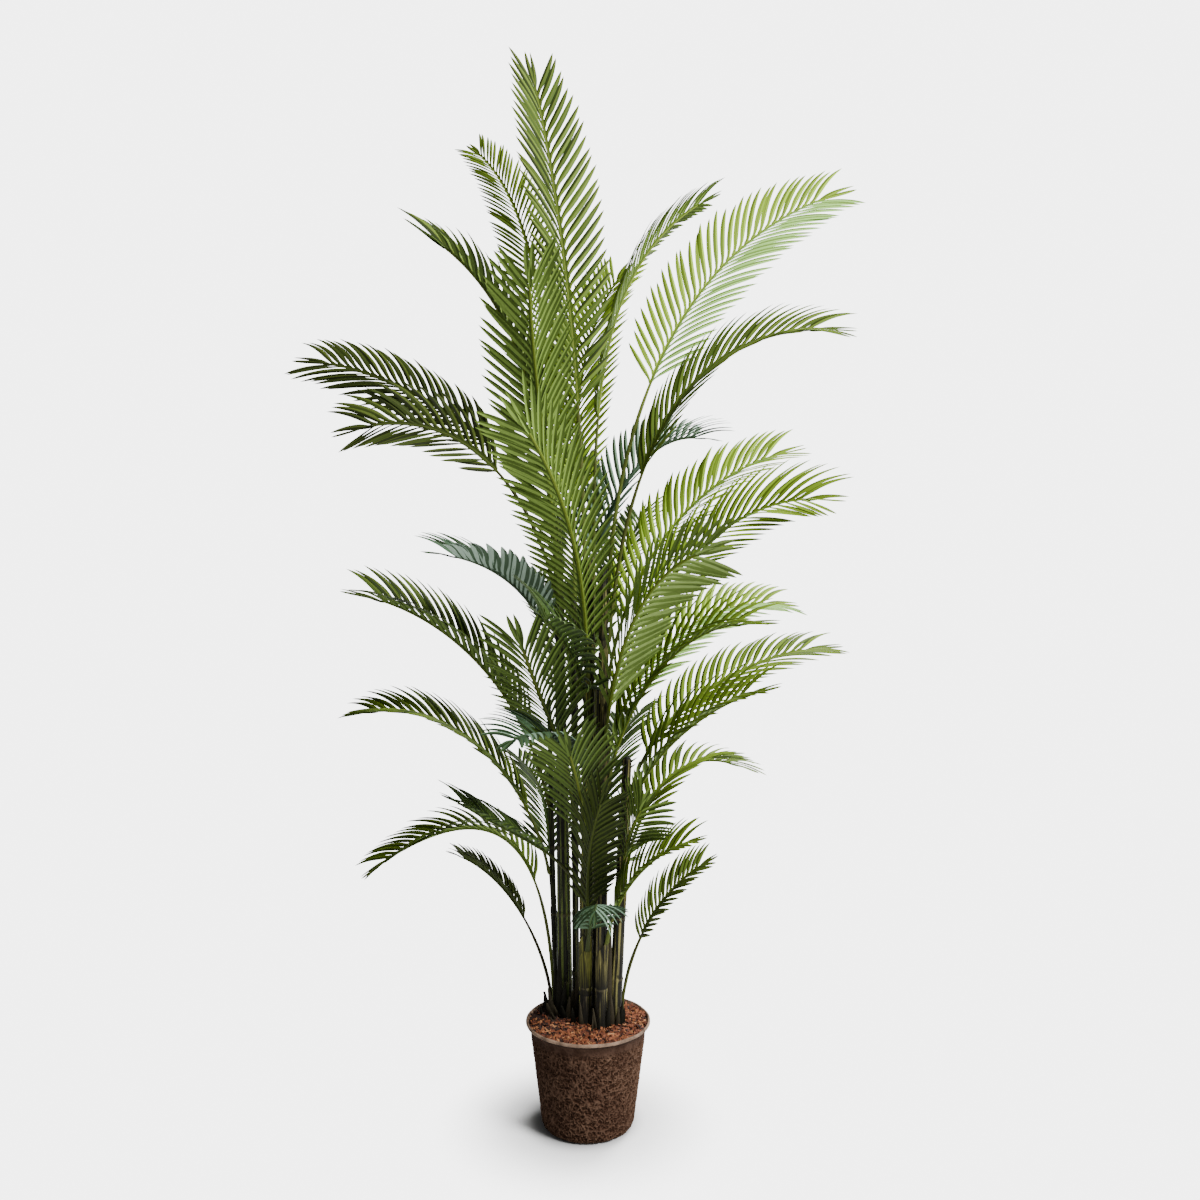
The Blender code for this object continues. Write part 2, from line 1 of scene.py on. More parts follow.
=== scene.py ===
"""Looks of the artificial areca palm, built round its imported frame, in metres with +Z up."""

import math
from collections import namedtuple

import bpy
import numpy as np
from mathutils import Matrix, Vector, noise


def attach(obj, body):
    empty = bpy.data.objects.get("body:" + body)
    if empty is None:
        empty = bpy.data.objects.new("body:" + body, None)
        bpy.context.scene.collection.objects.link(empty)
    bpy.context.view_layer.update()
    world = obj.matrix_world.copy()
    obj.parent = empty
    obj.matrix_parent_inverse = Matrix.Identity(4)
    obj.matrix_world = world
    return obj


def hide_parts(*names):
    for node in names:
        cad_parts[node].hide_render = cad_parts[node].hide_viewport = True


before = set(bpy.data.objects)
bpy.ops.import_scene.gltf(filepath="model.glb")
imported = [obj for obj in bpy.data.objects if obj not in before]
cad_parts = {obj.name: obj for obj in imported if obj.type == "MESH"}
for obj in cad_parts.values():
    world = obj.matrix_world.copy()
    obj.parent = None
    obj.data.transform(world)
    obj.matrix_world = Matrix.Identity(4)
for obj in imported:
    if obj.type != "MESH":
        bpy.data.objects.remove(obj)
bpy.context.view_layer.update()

# Start of the noise that bends the strands of the pot's fibre, the same on every run
noise.seed_set(5)

# Camera: level, in front of the palm, with the photo's horizon at mid height
CAMERA_PLACE = (0.023, -1.92, 1.006)
CAMERA_LENS = 29.85
CAMERA_SENSOR = 36.0

# Studio: light from all round, backdrop, and lamps (name, place, target, size, power)
WHITE = (1.0, 1.0, 1.0, 1.0)
WORLD_LIGHT = 0.32
BACKDROP_LIGHT = 5.0
LAMPS = (
    ("key", (1.9, -1.7, 3.1), (0.0, 0.0, 1.1), 1.1, 290),
    ("back", (1.5, 1.9, 2.9), (0.0, 0.0, 1.2), 1.2, 170),
)

# Floor: a painted shadow round the pot's foot, and the radii between which it turns into the backdrop
FLOOR_REACH = 12.0
PAINTED_SHADOW_CENTRE = (-0.014, 0.01, 0.0)
BACKDROP_RADII = (0.085, 0.3)
PAINTED_SHADOW_RADII = (0.075, 0.13)
PAINTED_SHADOW_TONES = (0.16, 0.9)

# Pot and fill, as in the solids
POT_HEIGHT = 0.2
POT_FOOT_RADIUS = 0.0865
POT_NECK_RADIUS = 0.1105
POT_LIP_RADIUS = 0.12
POT_LIP_HEIGHT = 0.006
POT_NECK_DROP = 0.016
POT_FLARE = 0.002
POT_FLARE_DROP = 0.01
POT_CORNER_RADIUS = 0.014
POT_WALL = 0.005
FILL_TOP = 0.19
INSIDE_RADIUS = POT_NECK_RADIUS - POT_WALL

# Pot's skin: its reach down the inside, points in a rounded edge, sides, steps, relief
POT_INSIDE_DROP = 0.024
POT_ARC_POINTS = 9
POT_FLOOR_RINGS = 12
POT_SIDES = 480
POT_STEP = 0.0013
POT_RELIEF = 0.0024
LIP_WAVE = 0.0008

# Bed of crumble and the loose chips on it, with their sizes from least to most in millimetres
BED_TOP = 0.194
BED_RINGS = 44
BED_SIDES = 140
BED_REACH = 0.008
BED_BUMPS = 0.0018
CHIPS = 2000
CHIP_REACH = 0.0065
CHIP_SIZES = ((4.5, 13.0), (2.8, 6.2), (1.2, 3.0))
CHIP_TONES = (
    (0.155, 0.046, 0.018),
    (0.09, 0.025, 0.011),
    (0.28, 0.125, 0.052),
    (0.02, 0.007, 0.004),
    (0.21, 0.074, 0.028),
)
DARK_CHIP = 3
LIGHT_CHIPS = {0: 0.38, 1: 0.3, 2: 0.14, 4: 0.18}
# Painted shadow: chips round this point at the back left mostly take the dark tone
CHIP_SHADOW_MIDDLE = np.array([-0.078, 0.05])
CHIP_SHADOW_REACH = np.array([0.055, 0.075])

# Canes: number, foot (x, y), top (x, y, z), radius at the foot and at the top, colour of the ridges
Cane = namedtuple("Cane", "number foot top foot_radius top_radius tone")
CANES = (
    Cane(1, (-0.045, 0.045), (-0.06, 0.05, 1.165), 0.0155, 0.0075, (0.062, 0.082, 0.016)),
    Cane(2, (-0.005, -0.01), (0.005, 0.0, 1.085), 0.0135, 0.0085, (0.165, 0.165, 0.034)),
    Cane(3, (0.01, 0.03), (0.015, 0.04, 0.83), 0.01, 0.0065, (0.064, 0.07, 0.02)),
    Cane(4, (0.025, -0.03), (0.03, -0.035, 1.065), 0.012, 0.008, (0.155, 0.138, 0.046)),
    Cane(5, (0.05, -0.01), (0.075, -0.01, 0.7), 0.013, 0.009, (0.135, 0.122, 0.04)),
    Cane(6, (-0.065, 0.075), (-0.08, 0.085, 0.805), 0.0055, 0.0045, (0.045, 0.054, 0.016)),
    Cane(7, (-0.025, 0.075), (-0.03, 0.1, 1.0), 0.0075, 0.0055, (0.05, 0.056, 0.018)),
)
CANE_FLARE = 1.1
CANE_FLARE_HEIGHT = 0.035
CANE_FOOT = FILL_TOP
CANE_SIDES = 48
CANE_STEP = 0.004
CANE_SUNK = 0.006
CANE_BLACK = (0.005, 0.0046, 0.003)
CANE_CROWN = ((0.003, 0.8), (0.005, 0.45), (0.0055, 0.15))
# Canes and sheaths fade to near black towards their feet: partly their own dark base, partly painted shade
FOOT_SHADE = (CANE_FOOT + 0.09, CANE_FOOT + 0.17)
FOOT_BLACK = (0.01, 0.009, 0.0066)

# Sheaths: length below the stalk, how much lower they end behind, rings, sides, dark tone
SHEATH = 0.09
SHEATH_SLANT = 0.05
SHEATH_RINGS = 16
SHEATH_SIDES = 36
SHEATH_BLACK = (0.006, 0.0056, 0.0036)

# Slivers and sticks round the canes' feet, in millimetres: foot, tip, width at the foot
SLIVERS = (
    (-62, 35, 189, -64, 30, 305, 14),
    (-66, 50, 189, -81, 46, 262, 10),
    (-50, 22, 189, -45, 16, 262, 16),
    (-34, 28, 189, -29, 22, 246, 14),
    (-74, 60, 189, -90, 62, 226, 9),
    (-58, 18, 189, -66, 4, 222, 12),
    (-30, 48, 189, -22, 46, 235, 12),
    (-12, -24, 189, -15, -28, 240, 10),
    (4, -22, 189, 8, -26, 228, 9),
    (14, -38, 189, 10, -44, 236, 9),
    (37, -36, 189, 40, -40, 250, 10),
    (46, -24, 189, 43, -29, 262, 12),
    (62, -16, 189, 66, -18, 240, 10),
    (8, -52, 189, 9.5, -54, 226, 3.5),
    (-34, -40, 192, -20, -52, 199, 3),
    (-60, -10, 192, -76, -4, 204, 3),
    (-20, 12, 189, -18, 8, 254, 13),
    (-68, 30, 189, -78, 24, 248, 14),
    (-56, 28, 189, -55, 20, 330, 15),
    (-40, 10, 189, -36, 4, 238, 13),
    (10, 0, 189, 13, -2, 440, 13),
    (38, -12, 189, 43, -14, 420, 12),
    (-80, 44, 189, -86, 42, 234, 16),
    (-72, 24, 189, -80, 14, 222, 15),
    (-46, 12, 189, -50, 0, 222, 16),
    (-26, 26, 189, -20, 24, 272, 15),
    (-28, -12, 189, -30, -18, 226, 12),
    (24, 8, 189, 26, 8, 300, 16),
    (-88, 26, 190, -94, 20, 214, 10),
    (-64, 6, 190, -70, -6, 212, 10),
    (66, -6, 189, 70, -8, 222, 9),
    (-14, -30, 190, -24, -44, 206, 3.2),
    (30, -52, 190, 40, -62, 202, 3),
    (56, -24, 189, 58, -30, 232, 10),
    (20, -48, 189, 22, -52, 222, 8),
)
SLIVER_RINGS = 9
# Sliver tones: the near-black one is partly withered sheath and partly painted shade among the canes' feet
SLIVER_TONES = ((0.008, 0.0075, 0.005), (0.03, 0.025, 0.015))

# Fronds, lengths in millimetres: cane (0 is the fill, with the foot's x and y in place of a height),
# height that the stalk leaves at, how far it leans out there, a point half way along, the furthest
# tip, the way its upper side faces, the bare share of its length, its shade, and where they differ
# from the rest the leaflets' lift in degrees, their length and how far the lowest open in degrees
Frond = namedtuple(
    "Frond",
    "number cane leaves lean middle tip faces bare shade lift leaflet opening",
    defaults=(18, 150, 50),
)
FROND_ROWS = (
    (1, 2, 1020, 0.2, (-48, 30, 1675), (-122, 60, 2098), (0.55, -1, 0.25), 0.36, "mid"),
    (2, 1, 1050, 0.2, (-145, 170, 1800), (-273, 300, 2022), (0, -1, 0.2), 0.38, "mid", 18, 105, 58),
    (3, 1, 1070, 0.4, (-158, -120, 1523), (-309, -260, 1637), (0.65, 0, 0.76), 0.42, "mid", 14, 150, 46),
    (4, 1, 1020, 0.3, (-90, -200, 1420), (-84, -380, 1563), (-0.15, 1, -0.3), 0.22, "mid"),
    (5, 2, 940, 0.2, (105, 220, 1720), (300, 320, 1925), (-1, 0, 0.4), 0.42, "mid", 6, 130, 44),
    (6, 4, 1020, 0.1, (265, 140, 1683), (571, 200, 1885), (-0.1, -1, 0.45), 0.42, "lime", 10, 165, 48),
    (7, 4, 930, 0.3, (180, -80, 1385), (480, -160, 1480), (-0.3, -0.6, 0.8), 0.42, "deep", 10, 145, 31),
    (8, 1, 1130, 0.6, (-315, 60, 1398), (-600, 100, 1492), (0.2, -0.85, 0.6), 0.36, "olive", 2, 150, 46),
    (9, 1, 1030, 0.9, (-190, -90, 1266), (-447, -180, 1289), (0.1, -0.9, 0.4), 0.5, "olive", 6, 130, 42),
    (10, 2, 860, 0.6, (-55, -340, 1205), (-125, -460, 1315), (-0.1, 1, -0.1), 0.12, "mid"),
    (11, 7, 930, 0.5, (130, 260, 1320), (310, 420, 1370), (-0.2, -0.4, 0.9), 0.25, "blue", 30, 160, 42),
    (12, 4, 860, 0.4, (230, 80, 1215), (445, 100, 1315), (-0.3, -0.7, 0.7), 0.18, "lime", 14, 150, 46),
    (13, 4, 820, 0.6, (265, -180, 1145), (420, -320, 1160), (-0.25, -0.75, 0.7), 0.25, "lime", 6, 150, 44),
    (14, 4, 740, 0.5, (125, -260, 1040), (235, -400, 1085), (0.6, 1, -0.3), 0.12, "lime", 18, 150, 38),
    (15, 4, 660, 0.5, (170, -100, 915), (335, -200, 955), (-0.2, -0.4, 1), 0.12, "mid"),
    (16, 4, 700, 0.4, (210, 140, 950), (460, 240, 990), (-0.2, -0.75, 0.9), 0.2, "lime", 10),
    (17, 5, 640, 0.4, (265, 80, 840), (525, 120, 910), (-0.2, -0.4, 0.9), 0.15, "mid", 8),
    (18, 5, 600, 0.6, (205, -100, 785), (340, -200, 855), (-0.3, -0.35, 0.9), 0.15, "deep"),
    (19, 5, 500, 0.4, (160, 60, 650), (345, 100, 645), (-0.1, -0.1, 1), 0.22, "deep", 8, 120),
    (20, 5, 480, 0.3, (80, -120, 590), (120, -200, 695), (0.2, 1, -0.3), 0.15, "mid", 18, 120),
    (21, 1, 860, 0.5, (-155, -160, 1050), (-278, -280, 1083), (0.2, -0.1, 1), 0.3, "blue", 30, 125, 42),
    (22, 6, 600, 0.5, (-250, -60, 930), (-445, -140, 1020), (0.2, -0.4, 1), 0.25, "deep", 30, 140, 46),
    (23, 7, 560, 0.5, (-85, -200, 850), (-120, -320, 995), (0.1, 1, -0.1), 0.12, "mid"),
    (24, 6, 460, 0.5, (-215, 20, 720), (-480, 20, 775), (0.15, -0.3, 1), 0.25, "deep", 14, 130, 36),
    (25, 2, 440, 0.9, (-125, -140, 585), (-245, -240, 690), (0.1, -0.3, 1), 0.38, "deep", 18, 110, 44),
    (26, 0, (-67, 40), 0.1, (-120, 60, 475), (-435, -20, 475), (0.2, -0.1, 1), 0.42, "mid", 18, 110, 42),
    (27, 0, (-72, 60), 0.1, (-140, 100, 375), (-295, 120, 490), (0.5, 0, 0.8), 0.5, "olive", 30, 70, 40),
    (28, 2, 500, 0.5, (-20, -180, 700), (-45, -280, 805), (0, 1, 0), 0.15, "mid"),
    (29, 2, 370, 0.5, (5, -120, 555), (45, -200, 700), (0.4, 1, 0), 0.15, "mid", 18, 100),
    (30, 2, 340, 1, (15, -140, 460), (5, -260, 450), (0, -0.5, 1), 0.2, "blue", -30, 100),
    (31, 4, 360, 0.5, (95, -100, 505), (215, -180, 590), (-0.1, -0.4, 0.9), 0.2, "mid", 18, 100),
    (32, 0, (65, 30), 0.1, (135, -20, 420), (245, -60, 530), (-0.2, -0.5, 0.9), 0.45, "mid", 18, 80),
    (33, 2, 620, 0.7, (-80, -200, 768), (-135, -360, 762), (0.2, -0.3, 1), 0.2, "blue", 18, 120),
    (34, 2, 760, 0.6, (-43, -240, 940), (-100, -400, 1010), (0, -0.8, 0.6), 0.2, "deep"),
    (35, 7, 950, 0.3, (-5, 275, 1555), (100, 420, 1800), (-0.2, -1, 0.4), 0.3, "lime"),
    (36, 3, 700, 0.4, (-65, 300, 1295), (-170, 460, 1650), (0.2, -1, 0.4), 0.2, "deep"),
    (37, 7, 800, 0.5, (70, 340, 1095), (140, 540, 1255), (0, 0.4, 1), 0.2, "deep"),
    (38, 7, 660, 0.5, (-70, 340, 960), (-225, 540, 1105), (0, 0.4, 1), 0.2, "deep"),
    (39, 3, 500, 0.6, (70, 300, 695), (155, 480, 765), (0, 0.4, 1), 0.2, "deep", 18, 130),
    (40, 6, 400, 0.6, (-110, 280, 585), (-215, 440, 650), (0, 0.4, 1), 0.2, "deep", 18, 120),
    (41, 3, 400, 0.6, (45, 240, 420), (115, 380, 430), (0, 0.4, 1), 0.25, "deep", 18, 110),
)
FRONDS = [
    frond._replace(
        leaves=np.array(frond.leaves) / 1000,
        middle=np.array(frond.middle) / 1000,
        tip=np.array(frond.tip) / 1000,
        leaflet=frond.leaflet / 1000,
    )
    for frond in (Frond(*row) for row in FROND_ROWS)
]

# Ribs: the curve's first handle as a share of its chords, and shares of the rib's length
RIB_FOOT_WIDTH = 0.006
RIB_TIP_WIDTH = 0.003
RIB_HANDLE = 0.3
RIB_SAMPLES = 160
TURN_SHARE = 0.35
FRAME_STEP = 0.02
RIB_STEP = 0.008
RIB_SIDES = 8
RIB_SWELL = 1.22
RIB_FLAT = 0.7
RIB_SUNK = 0.004
STALK_SWELL = 1.5
STALK_EASE = (0.09, 0.05)
STALK_FLARE = 0.25
STALK_FLARE_REACH = 0.03

# Leaflets: spacing and end leaflets as shares of a leaflet's length, and angles in degrees
ROOT_SPACING = 0.145
ROOT_STAGGER = 0.12
ROOT_OUT = 0.55
ROOT_RISE = 0.0003
FINER = 0.22
USUAL_LEAFLET = 0.13
END_LEAFLET = 0.58
END_WIDTH = 0.95
LEAFLET_PEAK = 0.52
LEAFLET_TAPER = 1.333
OPEN_LESS = 4
TIP_ANGLE = 31
END_ANGLE = 7
END_LIFT = 4
CURL_ANGLE = 9
ARCH_ANGLE = 24
HUG_ANGLE = 34
HUG_SHARE = 0.14
DROOP = 0.22
LEAFLET_WIDTH = 0.0112
LEAFLET_RINGS = 13
LEAFLET_FULL = 0.34
LEAFLET_KEEL = 0.26
LEAFLET_THICKNESS = 0.0007
MIDRIB_WIDTH = 0.0013

# Chance: the least and most share of a leaflet's length, and how far its angles stray in degrees
LENGTH_CHANCE = (0.94, 1.03)
OPENING_CHANCE = 1.2
LIFT_CHANCE = 1.7
TWIST_CHANCE = 5.0

# Web of leaf along the rib: half widths at the blade's foot and tip, and where it narrows in
WEB_EARLY = 0.004
WEB_FOOT_HALF = 0.0078
WEB_TIP_HALF = 0.0036
WEB_EASE = 0.035
WEB_NARROW = {"lime": 0.66}

# Leaf colours: upper sides from dark to bright, rib, undersides dark and bright, stalk; the darker and
# brighter tones are partly tone that differs at random, partly painted shade and light
Shade = namedtuple("Shade", "tops rib unders stalk")
SHADES = {
    "mid": Shade(
        ((0.026, 0.046, 0.004), (0.062, 0.104, 0.008), (0.115, 0.182, 0.014)),
        (0.11, 0.15, 0.018),
        ((0.046, 0.076, 0.01), (0.14, 0.215, 0.04)),
        (0.06, 0.075, 0.015),
    ),
    "moss": Shade(
        ((0.016, 0.027, 0.004), (0.042, 0.071, 0.009), (0.088, 0.138, 0.02)),
        (0.08, 0.102, 0.012),
        ((0.031, 0.05, 0.008), (0.076, 0.12, 0.021)),
        (0.05, 0.058, 0.012),
    ),
    "deep": Shade(
        ((0.011, 0.022, 0.004), (0.028, 0.054, 0.009), (0.058, 0.1, 0.018)),
        (0.042, 0.062, 0.01),
        ((0.02, 0.036, 0.007), (0.048, 0.082, 0.016)),
        (0.03, 0.036, 0.009),
    ),
    "lime": Shade(
        ((0.078, 0.126, 0.01), (0.145, 0.23, 0.016), (0.22, 0.348, 0.025)),
        (0.07, 0.098, 0.01),
        ((0.12, 0.22, 0.045), (0.24, 0.43, 0.11)),
        (0.085, 0.11, 0.02),
    ),
    # Pale undersides, the bright one painted light on the lit side
    "fan": Shade(
        ((0.054, 0.092, 0.008), (0.118, 0.198, 0.016), (0.192, 0.312, 0.028)),
        (0.11, 0.15, 0.018),
        ((0.165, 0.25, 0.052), (0.335, 0.475, 0.135)),
        (0.085, 0.11, 0.02),
    ),
    "olive": Shade(
        ((0.009, 0.013, 0.002), (0.025, 0.038, 0.006), (0.058, 0.082, 0.012)),
        (0.04, 0.054, 0.008),
        ((0.015, 0.022, 0.004), (0.038, 0.054, 0.009)),
        (0.028, 0.032, 0.008),
    ),
    # Blue-green, partly the leaves' own tone and partly a painted bluish sheen on the brightest
    "blue": Shade(
        ((0.01, 0.022, 0.008), (0.038, 0.074, 0.036), (0.15, 0.235, 0.165)),
        (0.036, 0.056, 0.018),
        ((0.02, 0.038, 0.016), (0.062, 0.108, 0.062)),
        (0.036, 0.046, 0.016),
    ),
    # A blue-green look whose whitish tones are a painted sheen
    "frost": Shade(
        ((0.016, 0.034, 0.012), (0.07, 0.125, 0.07), (0.3, 0.41, 0.32)),
        (0.06, 0.092, 0.044),
        ((0.06, 0.1, 0.058), (0.33, 0.44, 0.35)),
        (0.036, 0.046, 0.016),
    ),
}
LEAF_ROUGHNESS = 0.62
LEAF_GLOSS = 0.07

# Materials of a leaf: the three upper tones are 0 to 2, then these
MIDRIB, UNDER_DARK, UNDER_PALE = 3, 4, 5

# Fronds with another look than their shade's; sides that show underside tones on top, a dark and a pale
# half; and sides whose underside is painted pale as if lit
LOOKS = {
    1: "moss", 3: "moss", 7: "moss", 14: "fan", 18: "mid", 19: "mid", 21: "frost", 22: "moss",
    23: "moss", 24: "mid", 28: "moss", 29: "olive", 32: "moss",
}
PALE_SIDES = {6: 1, 16: 1}
LIT_SIDES = {14: -1, 21: -1}

# Leaflets that turn about their own length, by frond and side, in degrees
TURNS = {(1, -1): 12, (3, 1): 34, (7, 1): 18, (9, -1): -32, (12, 1): 22, (13, 1): 32}

# Fronds whose leaflets stand further apart than on the rest, and leaflets' widths against the rest
SPARSE = (1, 2, 3, 22, 24)
WIDTH_SHARES = {1: 0.9, 2: 0.76, 3: 1.05, 21: 1.3, 22: 0.95, 24: 0.9, 26: 0.92}

# Tones of a leaflet's two halves, dealt out by chance, the first never the brighter: painted shade and
# light
HALVES = ((0, 1), (0, 2), (1, 2), (0, 2), (1, 1))

Rib = namedtuple("Rib", "points run length bare inward")


def unit(vectors):
    return vectors / np.linalg.norm(vectors, axis=-1, keepdims=True)


def smooth(share):
    share = np.clip(share, 0.0, 1.0)
    return share * share * (3 - 2 * share)


def circle(sides):
    """Angles all round, evenly apart, each with its cosine and sine."""
    return [(a, math.cos(a), math.sin(a)) for a in 2 * math.pi * np.arange(sides) / sides]


def run_along(points):
    """How far along a line each of its points lies."""
    return np.append(0.0, np.cumsum(np.linalg.norm(np.diff(points, axis=0), axis=1)))


class Build:
    """Collects points, faces, their materials and their places across and along, for one mesh."""

    def __init__(self):
        self.points, self.faces, self.kinds, self.places = [], [], [], []
        self.count = 0

    def add(self, points, faces, kinds, places):
        self.points.append(points)
        self.faces += [tuple(self.count + corner for corner in face) for face in faces]
        self.kinds += list(kinds)
        self.places.append(places)
        self.count += len(points)

    def piece(self, name, materials, sharp=40):
        mesh = bpy.data.meshes.new(name)
        mesh.from_pydata(np.concatenate(self.points).tolist(), [], self.faces)
        for made in materials:
            mesh.materials.append(made)
        mesh.polygons.foreach_set("material_index", np.array(self.kinds, np.int32))
        layer = mesh.uv_layers.new(name="along")
        corners = np.zeros(len(mesh.loops), np.int32)
        mesh.loops.foreach_get("vertex_index", corners)
        layer.data.foreach_set("uv", np.concatenate(self.places)[corners].ravel())
        mesh.shade_smooth()
        mesh.set_sharp_from_angle(angle=math.radians(sharp))
        return shown(name, mesh)


def shown(name, data):
    """A new object in the scene."""
    made = bpy.data.objects.new(name, data)
    bpy.context.scene.collection.objects.link(made)
    return made


def keep_values(made, name, values):
    """Keeps a number for each point of a piece, which its materials read."""
    layer = made.data.attributes.new(name, "FLOAT", "POINT")
    layer.data.foreach_set("value", np.array(values, np.float32))


def tube(build, rings, kinds, cap_start=True, lengths=None, across=None):
    """Joins closed rings into a tube. Its kinds are one number, a row of sides or a column of rings."""
    rings = np.asarray(rings)
    count, sides = rings.shape[:2]
    kinds = np.broadcast_to(kinds, (count, sides))
    faces = []
    for ring in range(count - 1):
        for side in range(sides):
            here, there = ring * sides + side, ring * sides + (side + 1) % sides
            faces.append((here, there, there + sides, here + sides))
    marks = kinds[:-1].ravel().tolist()
    if cap_start:
        faces.append(tuple(range(sides))[::-1])
        marks.append(kinds[0, -1])
    faces.append(tuple(range((count - 1) * sides, count * sides)))
    marks.append(kinds[-1, -1])
    along = np.linspace(0, 1, count) if lengths is None else lengths
    across = np.arange(sides) / sides if across is None else across
    places = np.stack(np.meshgrid(across, along), axis=-1).reshape(-1, 2)
    build.add(rings.reshape(-1, 3), faces, marks, places)


def node_group(material):
    tree = material.node_tree
    return tree.nodes, tree.links


def plain_material(name, colour, roughness=LEAF_ROUGHNESS, specular=LEAF_GLOSS):
    made = bpy.data.materials.new(name)
    made.use_nodes = True
    shader = made.node_tree.nodes["Principled BSDF"]
    shader.inputs["Base Color"].default_value = (*colour, 1.0)
    shader.inputs["Roughness"].default_value = roughness
    shader.inputs["Specular IOR Level"].default_value = specular
    return made


def feed(material, name, value):
    """Leads a value into one of the inputs of the material's shader."""
    nodes, links = node_group(material)
    links.new(value, nodes["Principled BSDF"].inputs[name])


def add_bump(material, strength, distance, *pattern):
    """Fine relief from a noise pattern."""
    nodes, links = node_group(material)
    bump = nodes.new("ShaderNodeBump")
    bump.inputs["Strength"].default_value = strength
    bump.inputs["Distance"].default_value = distance
    links.new(noise_node(material, *pattern), bump.inputs["Height"])
    feed(material, "Normal", bump.outputs["Normal"])


def place_node(material, layer=None):
    """The object's own coordinates, or the places that a layer keeps."""
    node = material.node_tree.nodes.new("ShaderNodeUVMap" if layer else "ShaderNodeTexCoord")
    if layer:
        node.uv_map = layer
    return node.outputs["UV" if layer else "Object"]


def coordinate(material, axis, layer=None):
    nodes, links = node_group(material)
    split = nodes.new("ShaderNodeSeparateXYZ")
    links.new(place_node(material, layer), split.inputs["Vector"])
    return split.outputs[axis]


def noise_node(material, scale, detail=3.0, stretch=(1, 1, 1), roughness=0.5, layer=None):
    """A noise pattern, stretched along its axes."""
    nodes, links = node_group(material)
    mapping = nodes.new("ShaderNodeMapping")
    mapping.inputs["Scale"].default_value = stretch
    pattern = nodes.new("ShaderNodeTexNoise")
    pattern.inputs["Scale"].default_value = scale
    pattern.inputs["Detail"].default_value = detail
    pattern.inputs["Roughness"].default_value = roughness
    links.new(place_node(material, layer), mapping.inputs["Vector"])
    links.new(mapping.outputs["Vector"], pattern.inputs["Vector"])
    return pattern.outputs["Fac"]


def ramp(material, value, stops):
    nodes, links = node_group(material)
    made = nodes.new("ShaderNodeValToRGB")
    elements = made.color_ramp.elements
    while len(elements) < len(stops):
        elements.new(0.5)
    for element, (position, colour) in zip(elements, stops):
        element.position = position
        element.color = (*colour, 1.0)
    links.new(value, made.inputs["Fac"])
    return made.outputs["Color"]


def rising(material, value, start, end, high=1.0):
    """A share that rises from nothing to high as the value goes from start to end."""
    return ramp(material, value, [(start, (0.0, 0.0, 0.0)), (end, (high, high, high))])


def map_range(material, value, start, end, low=0.0, high=1.0, way="LINEAR"):
    """A share that goes from low to high as the value goes from start to end."""
    nodes, links = node_group(material)
    made = nodes.new("ShaderNodeMapRange")
    made.interpolation_type = way
    for name, number in (("From Min", start), ("From Max", end), ("To Min", low), ("To Max", high)):
        made.inputs[name].default_value = number
    links.new(value, made.inputs["Value"])
    return made.outputs["Result"]


def math_node(material, operation, *values):
    """The result of an operation on sockets and numbers."""
    nodes, links = node_group(material)
    made = nodes.new("ShaderNodeMath")
    made.operation = operation
    for socket, value in zip(made.inputs, values):
        if isinstance(value, float):
            socket.default_value = value
        else:
            links.new(value, socket)
    return made.outputs["Value"]


def attribute(material, name):
    node = material.node_tree.nodes.new("ShaderNodeAttribute")
    node.attribute_name = name
    return node.outputs["Fac"]


def mixed(material, first, second, share):
    """A mix of two colours, each a socket or three numbers, by a share."""
    nodes, links = node_group(material)
    made = nodes.new("ShaderNodeMix")
    made.data_type = "RGBA"
    for name, value in (("A", first), ("B", second)):
        socket = [s for s in made.inputs if s.name == name and s.type == "RGBA"][0]
        if isinstance(value, tuple):
            socket.default_value = (*value, 1.0)
        else:
            links.new(value, socket)
    links.new(share, made.inputs["Factor"])
    return [s for s in made.outputs if s.type == "RGBA"][0]


def times(colour, factor):
    return tuple(factor * part for part in colour)


def leaf_material(name, colour):
    """A plain leaf colour with fine veins that run along the leaflet."""
    made = plain_material(name, colour)
    add_bump(made, 0.35, 0.0003, 1.0, 1.0, (14.0, 40.0, 1.0), 0.5, "along")
    return made


def cane_axis(cane, height):
    foot = np.array([*cane.foot, CANE_FOOT])
    return foot + (np.array(cane.top) - foot) * (height - CANE_FOOT) / (cane.top[2] - CANE_FOOT)


def cane_radius(cane, height):
    rise = height - CANE_FOOT
    share = rise / (cane.top[2] - CANE_FOOT)
    radius = cane.foot_radius + (cane.top_radius - cane.foot_radius) * share
    flare = max(0.0, 1 - rise / CANE_FLARE_HEIGHT)
    return radius * (1 + (CANE_FLARE - 1) * flare)


